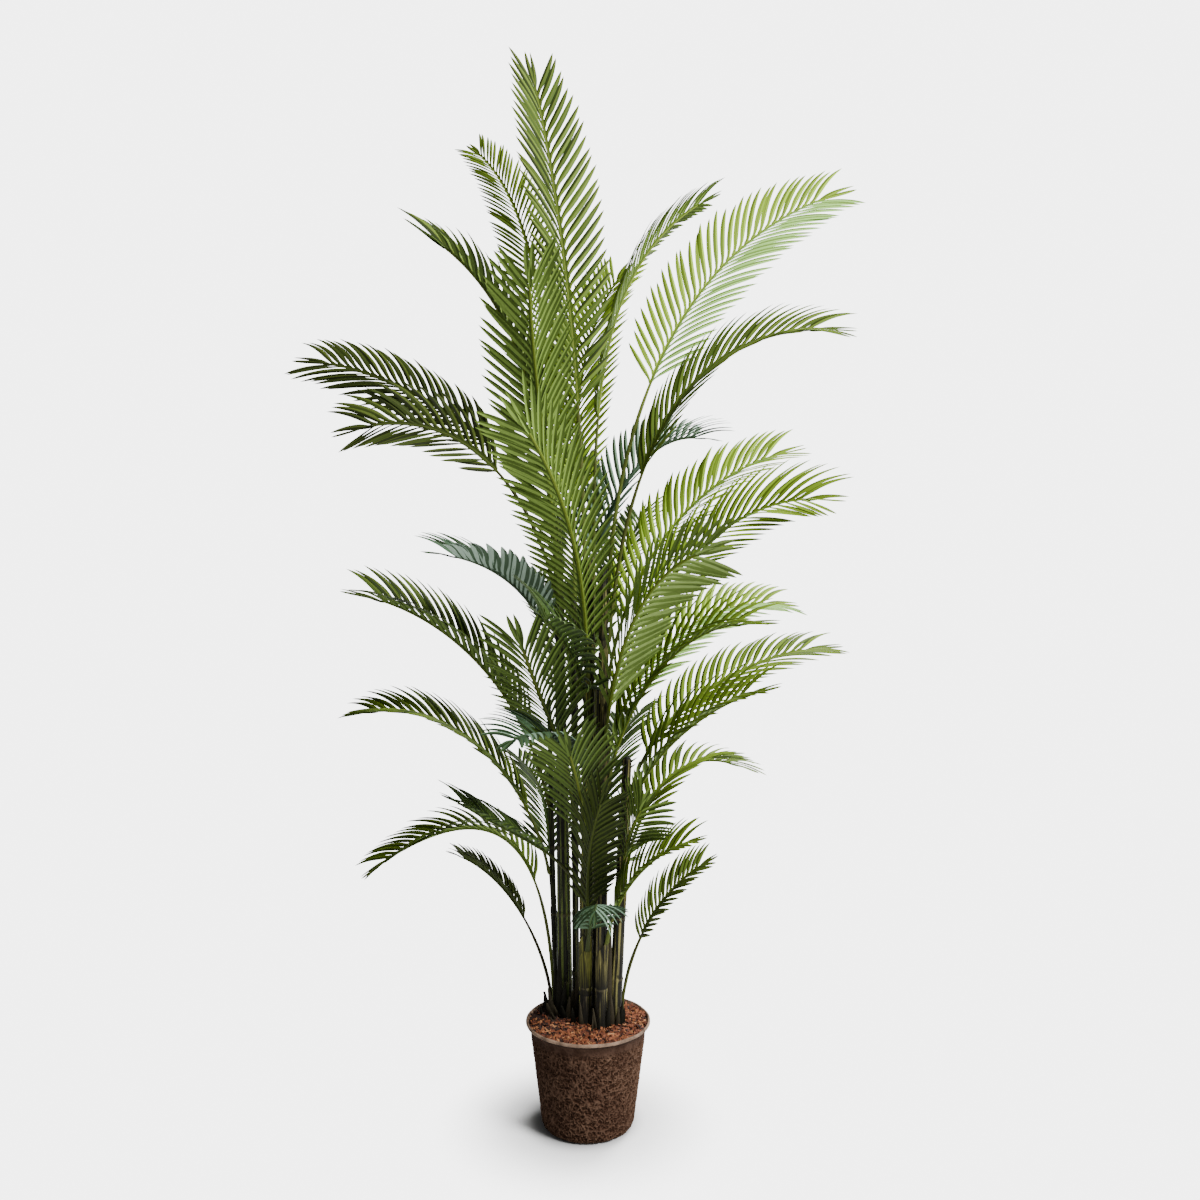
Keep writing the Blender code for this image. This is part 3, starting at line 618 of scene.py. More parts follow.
def frond_rib(frond):
    """The curve of the frond's rib, by the rule that the solids follow."""
    middle, tip = frond.middle, frond.tip
    if frond.cane == 0:
        start, up = np.array([*frond.leaves, FILL_TOP]), np.array([0.0, 0.0, 1.0])
        outward, inward = up, unit((start - middle) * (1, 1, 0))
    else:
        cane = CANES[frond.cane - 1]
        start = cane_axis(cane, frond.leaves)
        up = unit(np.array(cane.top) - np.array([*cane.foot, CANE_FOOT]))
        outward = unit((middle - start) * (1, 1, 0))
        inward = -outward
        start = start + outward * cane_radius(cane, frond.leaves)
    foot = start + outward * RIB_FOOT_WIDTH / 2
    to_middle, to_tip = np.linalg.norm(middle - foot), np.linalg.norm(tip - middle)
    start = unit(up + frond.lean * (middle - foot) / to_middle)
    first = foot + start * RIB_HANDLE * (to_middle + to_tip)
    t = to_middle / (to_middle + to_tip)
    second = middle - (1 - t) ** 3 * foot - 3 * (1 - t) ** 2 * t * first - t**3 * tip
    second /= 3 * (1 - t) * t * t
    t = np.linspace(0, 1, RIB_SAMPLES)[:, None]
    points = (1 - t) ** 3 * foot + 3 * (1 - t) ** 2 * t * first
    points += 3 * (1 - t) * t * t * second + t**3 * tip
    run = run_along(points)
    length = run[-1] - END_LEAFLET * frond.leaflet
    return Rib(points, run, length, frond.bare * length, inward)


def rib_frame(frond, rib, at):
    """Point, forward, up and sideways directions of the rib at a distance along it."""
    step = FRAME_STEP * rib.length

    def point(distance):
        return np.array([np.interp(distance, rib.run, rib.points[:, k]) for k in range(3)])

    forward = unit(point(min(at + step, rib.length)) - point(max(at - step, 0.0)))
    turned = smooth(at / (TURN_SHARE * rib.length))
    upper = rib.inward + (unit(np.array(frond.faces, float)) - rib.inward) * turned
    upper = unit(upper - forward * (upper @ forward))
    return point(at), forward, upper, np.cross(forward, upper)


def rib_width(rib, at):
    return RIB_FOOT_WIDTH + (RIB_TIP_WIDTH - RIB_FOOT_WIDTH) * at / rib.length


def slender(frond):
    """The share of the full width that a frond's leaflets have, less where they are short."""
    return min(1.0, frond.leaflet / USUAL_LEAFLET)


def leaflet(build, place, side, length, opening, lift, width, twist, marks):
    """A lance of a few faces that curls towards the tip, keeled along its midrib."""
    root, forward, upper, sideways = place
    share = np.linspace(0, 1, LEAFLET_RINGS + 1)
    hug = HUG_ANGLE * (1 - smooth(share / HUG_SHARE))
    angle = np.radians(opening + CURL_ANGLE * (1 - 2 * share**0.8) - hug)[:, None]
    raised = np.radians(lift + ARCH_ANGLE * (1 - 2 * share))[:, None]
    outward = side * np.cos(raised) * sideways + np.sin(raised) * upper
    normal = np.cos(raised) * upper - side * np.sin(raised) * sideways
    steer = np.cos(angle) * forward + np.sin(angle) * outward
    steer[:, 2] -= DROOP * share**1.5
    steer = unit(steer)
    steps = (steer[1:] + steer[:-1]) / 2 * length / LEAFLET_RINGS
    line = root + np.concatenate([np.zeros((1, 3)), np.cumsum(steps, axis=0)])
    across = unit(np.cross(steer, normal))
    normal = np.cross(across, steer)
    cos, sin = math.cos(math.radians(twist)), math.sin(math.radians(twist))
    across, normal = across * cos + normal * sin, normal * cos - across * sin
    half = width / 2 * (0.5 + 0.5 * smooth(share / LEAFLET_FULL)) * (1 - share**3.6) ** 0.75
    half, base, across, normal = half[:-1, None], line[:-1], across[:-1], normal[:-1]
    rim = np.minimum(half * 0.5, MIDRIB_WIDTH / 2)
    low = base - normal * half * LEAFLET_KEEL
    high = base + normal * LEAFLET_THICKNESS / 2
    under = base - normal * LEAFLET_THICKNESS / 2
    rings = (low - across * half, high - across * rim, high + across * rim, low + across * half, under)
    points = np.concatenate([np.stack(rings, axis=1).reshape(-1, 3), line[-1:]])
    faces, tip = [], len(points) - 1
    for ring in range(LEAFLET_RINGS):
        for k in range(5):
            here, there = ring * 5 + k, ring * 5 + (k + 1) % 5
            beyond = (there + 5, here + 5) if ring < LEAFLET_RINGS - 1 else (tip,)
            faces.append((here, there, *beyond))
    faces.append((4, 3, 2, 1, 0))
    places = np.stack(np.meshgrid((0.0, 0.45, 0.55, 1.0, 0.5), share[:-1] * length), axis=-1)
    places = np.concatenate([places.reshape(-1, 2), [[0.5, length]]])
    build.add(points, faces, list(marks) * LEAFLET_RINGS + [UNDER_DARK], places)


def leaflet_marks(frond, side, tones):
    """The materials of the faces round a leaflet, with a darker and a brighter half and a pale underside
    on lit sides: painted shade and light.
    """
    if PALE_SIDES.get(frond.number) == side:
        return UNDER_DARK, MIDRIB, UNDER_PALE, UNDER_PALE, UNDER_DARK
    # Painted light: the underside is pale on the side that counts as lit, dark on the other
    under = UNDER_PALE if LIT_SIDES.get(frond.number, side) == side else UNDER_DARK
    return tones[0], MIDRIB, tones[1], under, UNDER_DARK


def frond_leaflets(build, frond, rib):
    chance = np.random.default_rng(frond.number)
    blade = rib.length - rib.bare
    large = 0.0 if frond.number in SPARSE else float(smooth((frond.leaflet - 0.1) / 0.04))
    pairs = round((1 + FINER * large) * blade / (ROOT_SPACING * frond.leaflet))
    full = LEAFLET_WIDTH * slender(frond)
    wider = (1.25 - 0.25 * large) * WIDTH_SHARES.get(frond.number, 1.0)
    for step in range(pairs):
        share = (step + 0.5) / pairs
        for side in (-1, 1):
            at = rib.bare + blade * (share + side * ROOT_STAGGER / pairs)
            point, forward, upper, sideways = rib_frame(frond, rib, at)
            length = frond.leaflet * (1 - LEAFLET_TAPER * (share - LEAFLET_PEAK) ** 2)
            length *= chance.uniform(*LENGTH_CHANCE)
            opened = frond.opening - OPEN_LESS
            opening = opened + (TIP_ANGLE - opened) * share + chance.normal(0, OPENING_CHANCE)
            lift = frond.lift + chance.normal(0, LIFT_CHANCE)
            width = full * (0.78 + 0.22 * length / frond.leaflet) * wider
            root = point + ROOT_OUT * web_side(frond, rib, at, side, upper, sideways) + upper * ROOT_RISE
            # The two halves take a darker and a brighter tone: painted shade and light
            marks = leaflet_marks(frond, side, HALVES[int(chance.integers(0, len(HALVES)))])
            twist = TURNS.get((frond.number, side), 0) + chance.normal(0, TWIST_CHANCE)
            place = (root, forward, upper, sideways)
            leaflet(build, place, side, length, opening, lift, width, twist, marks)
    end = rib_frame(frond, rib, rib.length)
    length, marks = END_LEAFLET * frond.leaflet, (0, MIDRIB, 1, UNDER_PALE, UNDER_DARK)
    for side in (-1, 1):
        twist = TURNS.get((frond.number, side), 0)
        leaflet(build, end, side, length, END_ANGLE, END_LIFT, full * END_WIDTH, twist, marks)


def web_side(frond, rib, at, side, upper, sideways):
    """From the rib to the edge of the web beside it, at a distance along the rib."""
    share = max(0.0, (at - rib.bare) / (rib.length - rib.bare))
    half = WEB_FOOT_HALF + (WEB_TIP_HALF - WEB_FOOT_HALF) * share
    half *= WEB_NARROW.get(frond.shade, 1.0) * slender(frond)
    half *= 0.25 + 0.75 * float(smooth((at - rib.bare) / WEB_EASE))
    raised = math.radians(frond.lift + ARCH_ANGLE)
    return half * (side * math.cos(raised) * sideways + math.sin(raised) * upper)


def frond_web(build, frond, rib):
    """The strip of leaf along the rib that its leaflets are cut from."""
    ats = np.append(np.arange(rib.bare - WEB_EARLY, rib.length, RIB_STEP), rib.length)
    rings = []
    for at in ats:
        point, _, upper, sideways = rib_frame(frond, rib, at)
        left, right = (web_side(frond, rib, at, side, upper, sideways) for side in (-1, 1))
        thick = upper * LEAFLET_THICKNESS
        rings.append([left, thick, right, right - thick, -thick, left - thick] + point)
    right_half = UNDER_PALE if PALE_SIDES.get(frond.number) == 1 else 1
    kinds = (1, right_half, UNDER_DARK, UNDER_DARK, UNDER_DARK, UNDER_DARK)
    tube(build, rings, kinds, lengths=ats, across=(0.0, 0.5, 1.0, 1.0, 0.5, 0.0))


def frond_stalk(build, frond, rib):
    """The rib from its foot, sunk a little into what carries it, to the blade's end."""
    ats = np.append(np.arange(0, rib.length, RIB_STEP), rib.length)
    rings = []
    for at in ats:
        point, _, upper, sideways = rib_frame(frond, rib, at)
        flare = 1 + STALK_FLARE * max(0.0, 1 - at / STALK_FLARE_REACH)
        bare = smooth(at / STALK_EASE[0]) * smooth((rib.bare - at) / STALK_EASE[1])
        half = rib_width(rib, at) / 2 * flare * (RIB_SWELL + (STALK_SWELL - RIB_SWELL) * bare)
        ring = []
        for _, x, y in circle(RIB_SIDES):
            high = y * half * (RIB_FLAT if y > 0 else 1.0)
            ring.append(point + sideways * x * half + upper * high)
        rings.append(ring)
    sunk = (rib.inward * 0.5 - rib_frame(frond, rib, 0.0)[1]) * RIB_SUNK
    kinds = np.where(ats < rib.bare, 0, 1)
    kinds = np.append(kinds[0], kinds)[:, None]
    tube(build, [rings[0] + sunk, *rings], kinds, lengths=np.append(-RIB_SUNK, ats))


def make_fronds():
    looks = {frond.number: LOOKS.get(frond.number, frond.shade) for frond in FRONDS}
    for shade, look in sorted({(frond.shade, looks[frond.number]) for frond in FRONDS}):
        fronds = [f for f in FRONDS if (f.shade, looks[f.number]) == (shade, look)]
        name = shade if shade == look else f"{shade}_{look}"
        colours = SHADES[look]
        leaves, ribs = Build(), Build()
        for frond in fronds:
            rib = frond_rib(frond)
            frond_leaflets(leaves, frond, rib)
            frond_web(leaves, frond, rib)
            frond_stalk(ribs, frond, rib)
        tops = [leaf_material(f"leaf {name} {k}", tone) for k, tone in enumerate(colours.tops)]
        unders = [leaf_material(f"leaf {name} underside {k}", t) for k, t in enumerate(colours.unders)]
        line = plain_material(f"leaf {name} midrib", colours.rib)
        stalk = plain_material(f"stalk {name}", colours.stalk)
        blades = leaves.piece(f"leaflets_{name}", tops + [line] + unders)
        lines = ribs.piece(f"ribs_{name}", [stalk, line], 50)
        numbers = {f"frond_{frond.number:02d}" for frond in fronds}
        nodes = sorted(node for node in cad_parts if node[:8] in numbers)
        stalks = [node for node in nodes if node.endswith("_stalk")]
        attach(blades, "root")
        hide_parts(*[node for node in nodes if node not in stalks])
        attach(lines, "root")
        if stalks:
            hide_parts(*stalks)


def hump(distance, width):
    """A rounded rise that dies away with distance."""
    return math.exp(-((distance / width) ** 2))


def cane_rings(cane):
    """Ridged rings up a cane, with how near each lies to a node and each point's place on a ridge."""
    chance = np.random.default_rng(100 + cane.number)
    spacing = 0.085 + 0.05 * chance.random()
    first = CANE_FOOT + 0.05 + 0.04 * chance.random()
    count = 9 if cane.foot_radius > 0.01 else 6
    rings, nodes, ridges = [], [], []
    heights = np.arange(CANE_FOOT - CANE_SUNK, cane.top[2] - 0.001, CANE_STEP)
    for height in np.append(heights, cane.top[2]):
        middle = cane_axis(cane, height)
        radius = cane_radius(cane, max(height, CANE_FOOT))
        beyond = (height - first) % spacing
        near = min(beyond, spacing - beyond)
        noded = float(height > first - 0.02)
        bulge = 0.0011 * hump(near, 0.0035) * noded
        groove = 0.0008 * hump(beyond - 0.006, 0.0025) * noded
        twist = 0.9 * noise.noise(Vector((cane.number * 5.0, 0.0, height * 1.4)))
        ring = []
        for angle, x, y in circle(CANE_SIDES):
            sway = 0.5 * noise.noise(Vector((x * 1.5 + cane.number, y * 1.5, height * 4.0)))
            ridge = abs(math.sin(count / 2 * (angle + twist) + sway)) ** 0.7
            fine = noise.noise(Vector((x * 9.0 + cane.number * 3, y * 9.0, height * 20.0)))
            out = radius * (0.93 + 0.07 * ridge) + 0.0004 * fine + bulge - groove
            ring.append(middle + np.array([x, y, 0.0]) * out)
            ridges.append(ridge)
        rings.append(ring)
        nodes.append(hump(near, 0.003) * noded)
    for rise, shrink in CANE_CROWN:
        last = np.array(rings[-1])
        rings.append((last - last.mean(axis=0)) * shrink + np.array(cane.top) + (0.0, 0.0, rise))
        nodes.append(0.0)
        ridges += [0.3] * CANE_SIDES
    return rings, nodes, ridges


def make_canes():
    for cane in CANES:
        build = Build()
        rings, nodes, ridges = cane_rings(cane)
        tube(build, rings, 0)
        nodes = list(np.repeat(nodes, CANE_SIDES))
        for frond in FRONDS:
            if frond.cane == cane.number:
                count = build.count
                add_sheath(build, cane, frond)
                nodes += [0.0] * (build.count - count)
                ridges += [0.6] * (build.count - count)
        made = build.piece(f"cane_{cane.number}_skin", [cane_material(cane), sheath_material(cane)], 60)
        keep_values(made, "ring", nodes)
        keep_values(made, "ridge", ridges)
        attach(made, "root")
        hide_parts(f"cane_{cane.number}")


def add_sheath(build, cane, frond):
    """The clasping foot of a frond, wrapped round its cane below the height that the stalk leaves at."""
    outward = -frond_rib(frond).inward
    toward = math.atan2(outward[1], outward[0])
    low = max(frond.leaves - SHEATH, CANE_FOOT + 0.01)
    rings = []
    for share in np.linspace(0, 1, SHEATH_RINGS):
        height = low + (frond.leaves - 0.002 - low) * share
        ring = []
        for angle, x, y in circle(SHEATH_SIDES):
            near = 0.5 + 0.5 * math.cos(angle - toward)
            at = height - SHEATH_SLANT * (1 - near) * share
            out = cane_radius(cane, at) + 0.0002 + 0.0012 * share * near + 0.0016 * share**3 * near**2
            out += 0.0005 * abs(math.sin(4 * angle + frond.number)) * (0.3 + 0.7 * share)
            out += 0.0004 * noise.noise(Vector((x * 3 + frond.number, y * 3, at * 30)))
            ring.append(cane_axis(cane, at) + np.array([x, y, 0]) * out)
        rings.append(ring)
    rim = np.array(rings[-1])
    centre = rim.mean(axis=0)
    rings.append(centre + (rim - centre) * 0.8)
    tube(build, rings, 1)


def cane_material(cane):
    """Dark skin with lengthwise olive ridges and painted highlights, near black at the foot, partly as
    painted shade.
    """
    made = plain_material(f"cane {cane.number} skin", (0.03, 0.03, 0.015), 0.6, 0.15)
    crest, ridge = cane.tone, attribute(made, "ridge")
    colour = ramp(made, ridge, [(0.36, CANE_BLACK), (0.68, times(crest, 0.42)), (0.92, crest)])
    streaks = rising(made, noise_node(made, 1.0, 3.0, (150, 150, 6)), 0.46, 0.6)
    # Painted highlight: the ridge crests turn brighter where the streaks cross them
    painted_glints = math_node(made, "MULTIPLY", streaks, rising(made, ridge, 0.72, 0.97))
    colour = mixed(made, mixed(made, CANE_BLACK, colour, streaks), times(crest, 1.5), painted_glints)
    scuffs = rising(made, noise_node(made, 1.0, 3.0, (110, 110, 16), 0.6), 0.62, 0.72, 0.8)
    colour = mixed(made, foot_shaded(made, colour), (0.06, 0.048, 0.032), scuffs)
    ring = rising(made, attribute(made, "ring"), 0.3, 1.0, 0.45)
    feed(made, "Base Color", mixed(made, colour, (0.07, 0.058, 0.028), ring))
    add_bump(made, 0.4, 0.0004, 1.0, 4.0, (600, 600, 30))
    return made


def foot_shaded(material, colour):
    """A colour that fades in streaks to near black towards the canes' feet, partly their own dark base and
    partly painted shade.
    """
    streaks = noise_node(material, 1.0, 3.0, (130, 130, 5))
    uneven = math_node(material, "MULTIPLY_ADD", streaks, 0.16, coordinate(material, "Z"))
    return mixed(material, FOOT_BLACK, colour, map_range(material, uneven, *FOOT_SHADE))


def sheath_material(cane):
    """Streaked skin that is dark at the sheath's lower end."""
    made = plain_material(f"cane {cane.number} sheath", (0.03, 0.045, 0.012), 0.65, 0.12)
    tones = (SHEATH_BLACK, times(cane.tone, 0.22), times(cane.tone, 0.5), cane.tone)
    stops = list(zip((0.43, 0.5, 0.56, 0.64), tones))
    colour = ramp(made, noise_node(made, 1.0, 4.0, (260, 260, 6), 0.6), stops)
    rise = map_range(made, coordinate(made, "Y", "along"), 0.0, 0.55)
    feed(made, "Base Color", foot_shaded(made, mixed(made, SHEATH_BLACK, colour, rise)))
    add_bump(made, 0.4, 0.0004, 1.0, 3.0, (900, 900, 40))
    return made


def arc(x, z, radius, start, end):
    """Points of an outline on a part of a circle."""
    angles = np.linspace(start, end, POT_ARC_POINTS)
    return [(x + radius * math.cos(angle), z + radius * math.sin(angle)) for angle in angles]


def pot_profile():
    """The pot's outline from inside the neck, over the lip, down the wall and under to the middle."""
    lip = POT_LIP_HEIGHT / 2
    draft = math.atan((POT_NECK_RADIUS - POT_FOOT_RADIUS) / (POT_HEIGHT - POT_NECK_DROP))
    inset = POT_CORNER_RADIUS * (1 - math.sin(draft)) / math.cos(draft)
    points = [
        (INSIDE_RADIUS, POT_HEIGHT - POT_INSIDE_DROP),
        *arc(POT_LIP_RADIUS - lip, POT_HEIGHT - lip, lip, 0.62 * math.pi, -0.5 * math.pi),
        (POT_NECK_RADIUS + POT_FLARE, POT_HEIGHT - POT_FLARE_DROP),
        (POT_NECK_RADIUS, POT_HEIGHT - POT_NECK_DROP),
        *arc(POT_FOOT_RADIUS - inset, POT_CORNER_RADIUS, POT_CORNER_RADIUS, -draft, -math.pi / 2),
        (0.01, 0.0),
    ]
    return np.array(points)


def make_pot():
    outline = pot_profile()
    run = run_along(outline)
    wall = run[-2]
    at = np.append(np.arange(0, wall, POT_STEP), np.linspace(wall, run[-1], POT_FLOOR_RINGS))
    radii, heights = (np.interp(at, run, outline[:, k]) for k in range(2))
    slopes = unit(np.stack([np.gradient(radii), np.gradient(heights)], axis=1))
    rings, relief = [], []
    for radius, height, slope in zip(radii, heights, slopes):
        below = POT_HEIGHT - height
        rough = 0.08 + 0.92 * float(smooth((below - 0.012) / 0.026))
        rough *= float(smooth(height / 0.004))
        wave = LIP_WAVE if below < POT_LIP_HEIGHT * 1.2 else 0.0
        ring = []
        for _, x, y in circle(POT_SIDES):
            place = Vector((radius * x, radius * y, height))
            value = fibre_relief(place)
            move = POT_RELIEF * value * rough
            r, z = radius - slope[1] * move + wave * noise.noise(place * 26), height + slope[0] * move
            ring.append((r * x, r * y, min(max(z, 0.0), POT_HEIGHT)))
            relief.append(0.5 + 0.5 * value * max(rough, 0.3))
        rings.append(ring)
    build = Build()
    tube(build, rings, on_lip(radii, heights)[:, None].astype(int), cap_start=False)
    made = build.piece("pot_fibre", [pot_material(), lip_material()], 60)
    keep_values(made, "relief", relief)
    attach(made, "root")
    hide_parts("pot")


def on_lip(radii, heights):
    return (POT_HEIGHT - heights < POT_LIP_HEIGHT * 0.95) & (radii > INSIDE_RADIUS)


def fibre_relief(place):
    """Height of the pressed fibre from -1 to 1: short strands that cross, with grains and pits."""
    bend = noise.noise_vector(place * 70) * 0.004
    strands = 0.0
    for frequency, offset, rise in ((100, 0.0, 1.0), (150, 9.0, 0.95), (215, 4.0, 0.8)):
        spot = (place + bend) * frequency + Vector((offset, offset, offset))
        strands = max(strands, rise * (1 - 5.0 * abs(noise.noise(spot))))
    lump = noise.noise(place * 60 + Vector((4, 1, 8)))
    grain = noise.noise(place * 330)
    return min(1.0, max(-1.0, strands * 1.3 - 0.65 + 0.15 * lump + 0.3 * grain))


def pot_material():
    """Dark fibre by its relief, with patches, smears at the neck, and painted shade under the lip and on
    the left.
    """
    made = plain_material("pressed fibre", (0.06, 0.035, 0.022), 0.9, 0.05)
    low, middle, high = (0.013, 0.0054, 0.003), (0.041, 0.02, 0.0115), (0.118, 0.07, 0.046)
    # The colour follows the relief, darker in the pits and lighter on the raised strands: partly the
    # fibre's own tone, partly painted shade and highlight
    colour = ramp(made, attribute(made, "relief"), [(0.1, low), (0.48, middle), (0.92, high)])
    patches = rising(made, noise_node(made, 14.0, 4.0), 0.45, 0.7, 0.45)
    colour = mixed(made, colour, (0.02, 0.008, 0.005), patches)
    height = coordinate(made, "Z")
    neck = map_range(made, height, POT_HEIGHT - 0.034, POT_HEIGHT - 0.02, 0.0, 0.55)
    tones = [(0.35, (0.02, 0.01, 0.0065)), (0.65, (0.048, 0.028, 0.02))]
    smears = ramp(made, noise_node(made, 1.0, 3.0, (90, 90, 25)), tones)
    colour = mixed(made, colour, smears, neck)
    # Painted shade: a near-black band just below the lip
    painted_lip_shade = map_range(made, height, POT_HEIGHT - 0.0125, POT_HEIGHT - 0.0085, 0.0, 0.85)
    colour = mixed(made, colour, (0.008, 0.004, 0.003), painted_lip_shade)
    # Painted shade: the pot darkens towards its left side, away from the lamp on the right
    left = map_range(made, coordinate(made, "X"), -0.1, 0.02, 0.45, 0.0)
    feed(made, "Base Color", mixed(made, colour, (0.01, 0.0045, 0.0025), left))
    add_bump(made, 0.5, 0.0006, 700.0, 3.0)
    return made


def lip_material():
    made = plain_material("worn lip", (0.25, 0.18, 0.13), 0.85, 0.25)
    tones = [(0.32, (0.075, 0.047, 0.031)), (0.62, (0.215, 0.14, 0.095))]
    feed(made, "Base Color", ramp(made, noise_node(made, 45.0, 4.0), tones))
    add_bump(made, 0.4, 0.0005, 500.0, 3.0)
    return made


def make_bed():
    """A dark bed of crumble that fills the pot's mouth."""
    rings = []
    for share in np.linspace(1, 0, BED_RINGS):
        r = (INSIDE_RADIUS + BED_REACH) * share + 0.0005
        ring = []
        for _, x, y in circle(BED_SIDES):
            rise = BED_BUMPS * noise.fractal(Vector((r * x * 140, r * y * 140, 0)), 1.0, 2.0, 3)
            ring.append((r * x, r * y, BED_TOP + rise))
        rings.append(ring)
    bed = Build()
    tube(bed, rings, 0, cap_start=False)
    ground = plain_material("crumble bed", (0.05, 0.025, 0.014), 0.95, 0.2)
    tones = [(0.42, (0.008, 0.004, 0.003)), (0.66, (0.07, 0.022, 0.011))]
    feed(ground, "Base Color", ramp(ground, noise_node(ground, 230.0, 3.0), tones))
    made = bed.piece("crumble_bed", [ground], 60)
    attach(made, "root")
    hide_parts("potting_fill")


def make_chips():
    """Chips of bark that lie on the bed, with a dark patch of painted shadow at the back left."""
    chance = np.random.default_rng(7)
    chips = Build()
    corners = np.array([(x, y, z) for x in (-1, 1) for y in (-1, 1) for z in (-1, 1)], float)
    faces = [(0, 1, 3, 2), (4, 6, 7, 5), (0, 4, 5, 1), (2, 3, 7, 6), (0, 2, 6, 4), (1, 5, 7, 3)]
    light, often = list(LIGHT_CHIPS), list(LIGHT_CHIPS.values())
    for _ in range(CHIPS):
        r = (INSIDE_RADIUS + CHIP_REACH) * math.sqrt(chance.random())
        angle = chance.uniform(0, 2 * math.pi)
        size = np.array([chance.uniform(*sizes) for sizes in CHIP_SIZES]) * 0.0005
        shape = corners * size * chance.uniform(0.6, 1.2, (8, 3))
        turn = chip_turn(chance)
        height = BED_TOP + abs(chance.normal(0, 0.0014))
        middle = np.array([r * math.cos(angle), r * math.sin(angle), height])
        # Painted shadow: near the back left most chips are dark; elsewhere a few are, at random
        away = (middle[:2] - CHIP_SHADOW_MIDDLE) / CHIP_SHADOW_REACH
        dark = chance.random() < 0.13 + 0.9 * math.exp(-(away @ away))
        kind = DARK_CHIP if dark else int(chance.choice(light, p=often))
        chips.add(shape @ turn.T + middle, faces, [kind] * 6, np.zeros((8, 2)))
    made = chips.piece("bark_chips", [chip_material(k, tone) for k, tone in enumerate(CHIP_TONES)], 30)
    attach(made, "root")


def turn_about(axis, angle):
    """A turn about one of the three axes."""
    turn = np.eye(3)
    first, second = (axis + 1) % 3, (axis + 2) % 3
    turn[first, first] = turn[second, second] = math.cos(angle)
    turn[second, first], turn[first, second] = math.sin(angle), -math.sin(angle)
    return turn


def chip_turn(chance):
    """A turn about the upright with a random tilt, so that chips lie rather than stand."""
    spin, tilt, roll = chance.uniform(0, 2 * math.pi), chance.normal(0, 0.45), chance.normal(0, 0.6)
    return turn_about(2, spin) @ turn_about(1, tilt) @ turn_about(0, roll)


def chip_material(number, tone):
    made = plain_material(f"bark chip {number}", tone, 0.85, 0.3)
    add_bump(made, 0.5, 0.0005, 900.0, 2.0)
    return made


def make_slivers():
    """Withered sheaths and sticks that stand round the canes' feet; the near-black ones are partly painted
    shade.
    """
    build = Build()
    for number, row in enumerate(SLIVERS):
        chance = np.random.default_rng(300 + number)
        foot, tip, width = np.array(row[:3]) / 1000, np.array(row[3:6]) / 1000, row[6] / 1000
        away = unit(np.array([foot[0], foot[1] - 0.4, 0.0]))
        along = unit(tip - foot)
        across = unit(np.cross(along, away))
        thick = np.cross(across, along)
        rings = []
        for share in np.linspace(0, 1, SLIVER_RINGS):
            half = width / 2 * (1 - 0.86 * share**1.4) + 0.0004
            bend = 0.12 * np.linalg.norm(tip - foot) * math.sin(math.pi * share) * chance.uniform(0.2, 0.4)
            middle = foot + (tip - foot) * share + thick * bend
            thin = thick * min(half, 0.0016)
            rings.append([middle + across * half * x + thin * y for _, x, y in circle(8)])
        tube(build, rings, number % 2)
    finishes = []
    for k, tone in enumerate(SLIVER_TONES):
        finish = plain_material(f"withered sheath {k}", tone, 0.8, 0.1)
        add_bump(finish, 0.5, 0.0005, 1.0, 3.0, (700, 700, 60))
        finishes.append(finish)
    made = build.piece("withered_sheaths", finishes, 50)
    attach(made, "root")


def make_camera():
    eye = bpy.data.cameras.new("camera")
    eye.lens = CAMERA_LENS
    eye.sensor_width = CAMERA_SENSOR
    camera = shown("camera", eye)
    camera.location = CAMERA_PLACE
    camera.rotation_euler = (math.pi / 2, 0.0, 0.0)
    bpy.context.scene.camera = camera


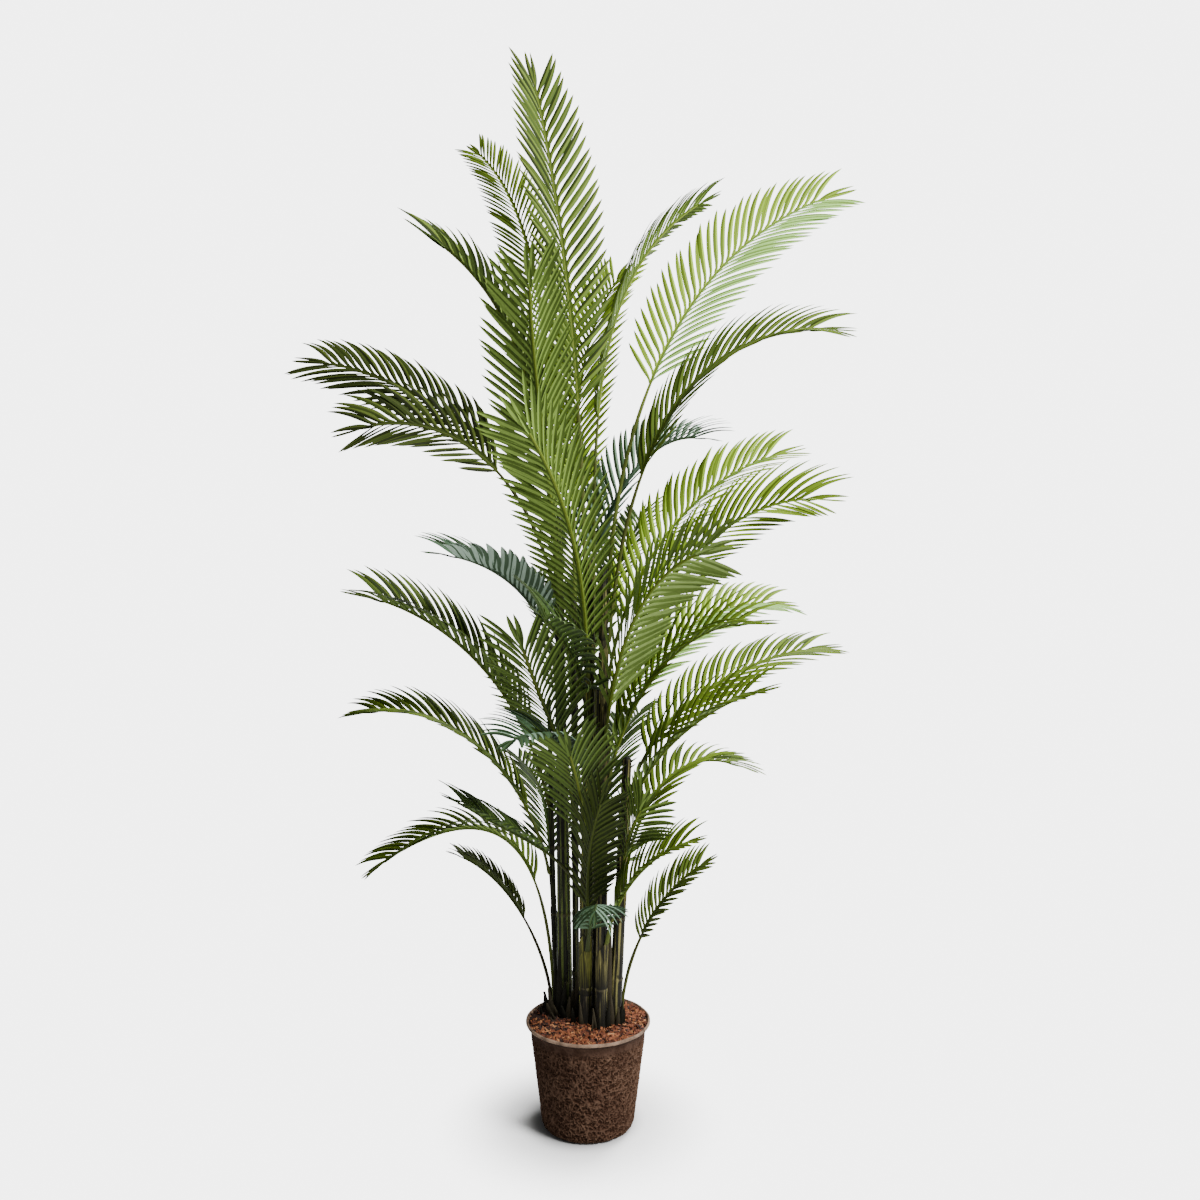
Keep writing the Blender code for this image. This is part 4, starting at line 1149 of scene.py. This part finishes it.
def make_lights():
    """Soft light from all round with a brighter backdrop, and the lamps."""
    world = bpy.data.worlds.new("studio")
    bpy.context.scene.world = world
    world.use_nodes = True
    nodes, links = node_group(world)
    light, backdrop = nodes["Background"], nodes.new("ShaderNodeBackground")
    for node, strength in ((light, WORLD_LIGHT), (backdrop, BACKDROP_LIGHT)):
        node.inputs["Color"].default_value = WHITE
        node.inputs["Strength"].default_value = strength
    rays, either = nodes.new("ShaderNodeLightPath"), nodes.new("ShaderNodeMixShader")
    links.new(rays.outputs["Is Camera Ray"], either.inputs["Fac"])
    links.new(light.outputs["Background"], either.inputs[1])
    links.new(backdrop.outputs["Background"], either.inputs[2])
    links.new(either.outputs["Shader"], nodes["World Output"].inputs["Surface"])
    for name, place, target, size, power in LAMPS:
        lamp = bpy.data.lights.new(name, "AREA")
        lamp.shape = "DISK"
        lamp.size = size
        lamp.energy = power
        made = shown(name, lamp)
        made.location = place
        made.rotation_euler = (Vector(target) - Vector(place)).to_track_quat("-Z", "Y").to_euler()


def make_floor():
    mesh = bpy.data.meshes.new("floor")
    far = FLOOR_REACH
    mesh.from_pydata([(-far, -far, 0), (far, -far, 0), (far, far, 0), (-far, far, 0)], [], [(0, 1, 2, 3)])
    mesh.materials.append(floor_material())
    floor = shown("floor", mesh)


def floor_material():
    """A pale floor, grey with a painted shadow right round the pot's foot, and as bright as the backdrop
    beyond.
    """
    made = plain_material("pale floor", (0.9, 0.9, 0.9), 0.9, 0.0)
    nodes, links = node_group(made)
    apart = nodes.new("ShaderNodeVectorMath")
    apart.operation = "DISTANCE"
    apart.inputs[1].default_value = PAINTED_SHADOW_CENTRE
    links.new(place_node(made), apart.inputs[0])
    seen = nodes.new("ShaderNodeLightPath").outputs["Is Camera Ray"]

    def fade(radii, low, high):
        return map_range(made, apart.outputs["Value"], *radii, low, high, "SMOOTHSTEP")

    bright = math_node(made, "MULTIPLY", fade(BACKDROP_RADII, 0.0, BACKDROP_LIGHT), seen)
    covered = math_node(made, "MULTIPLY", fade(BACKDROP_RADII, 0.0, 1.0), seen)
    bare = math_node(made, "SUBTRACT", 1.0, covered)
    nodes["Principled BSDF"].inputs["Emission Color"].default_value = WHITE
    feed(made, "Emission Strength", bright)
    # Painted shadow: the floor's colour darkens towards the pot's foot
    feed(made, "Base Color", math_node(made, "MULTIPLY", fade(PAINTED_SHADOW_RADII, *PAINTED_SHADOW_TONES), bare))
    return made


make_camera()
make_lights()
make_floor()
make_fronds()
make_canes()
make_slivers()
make_pot()
make_bed()
make_chips()
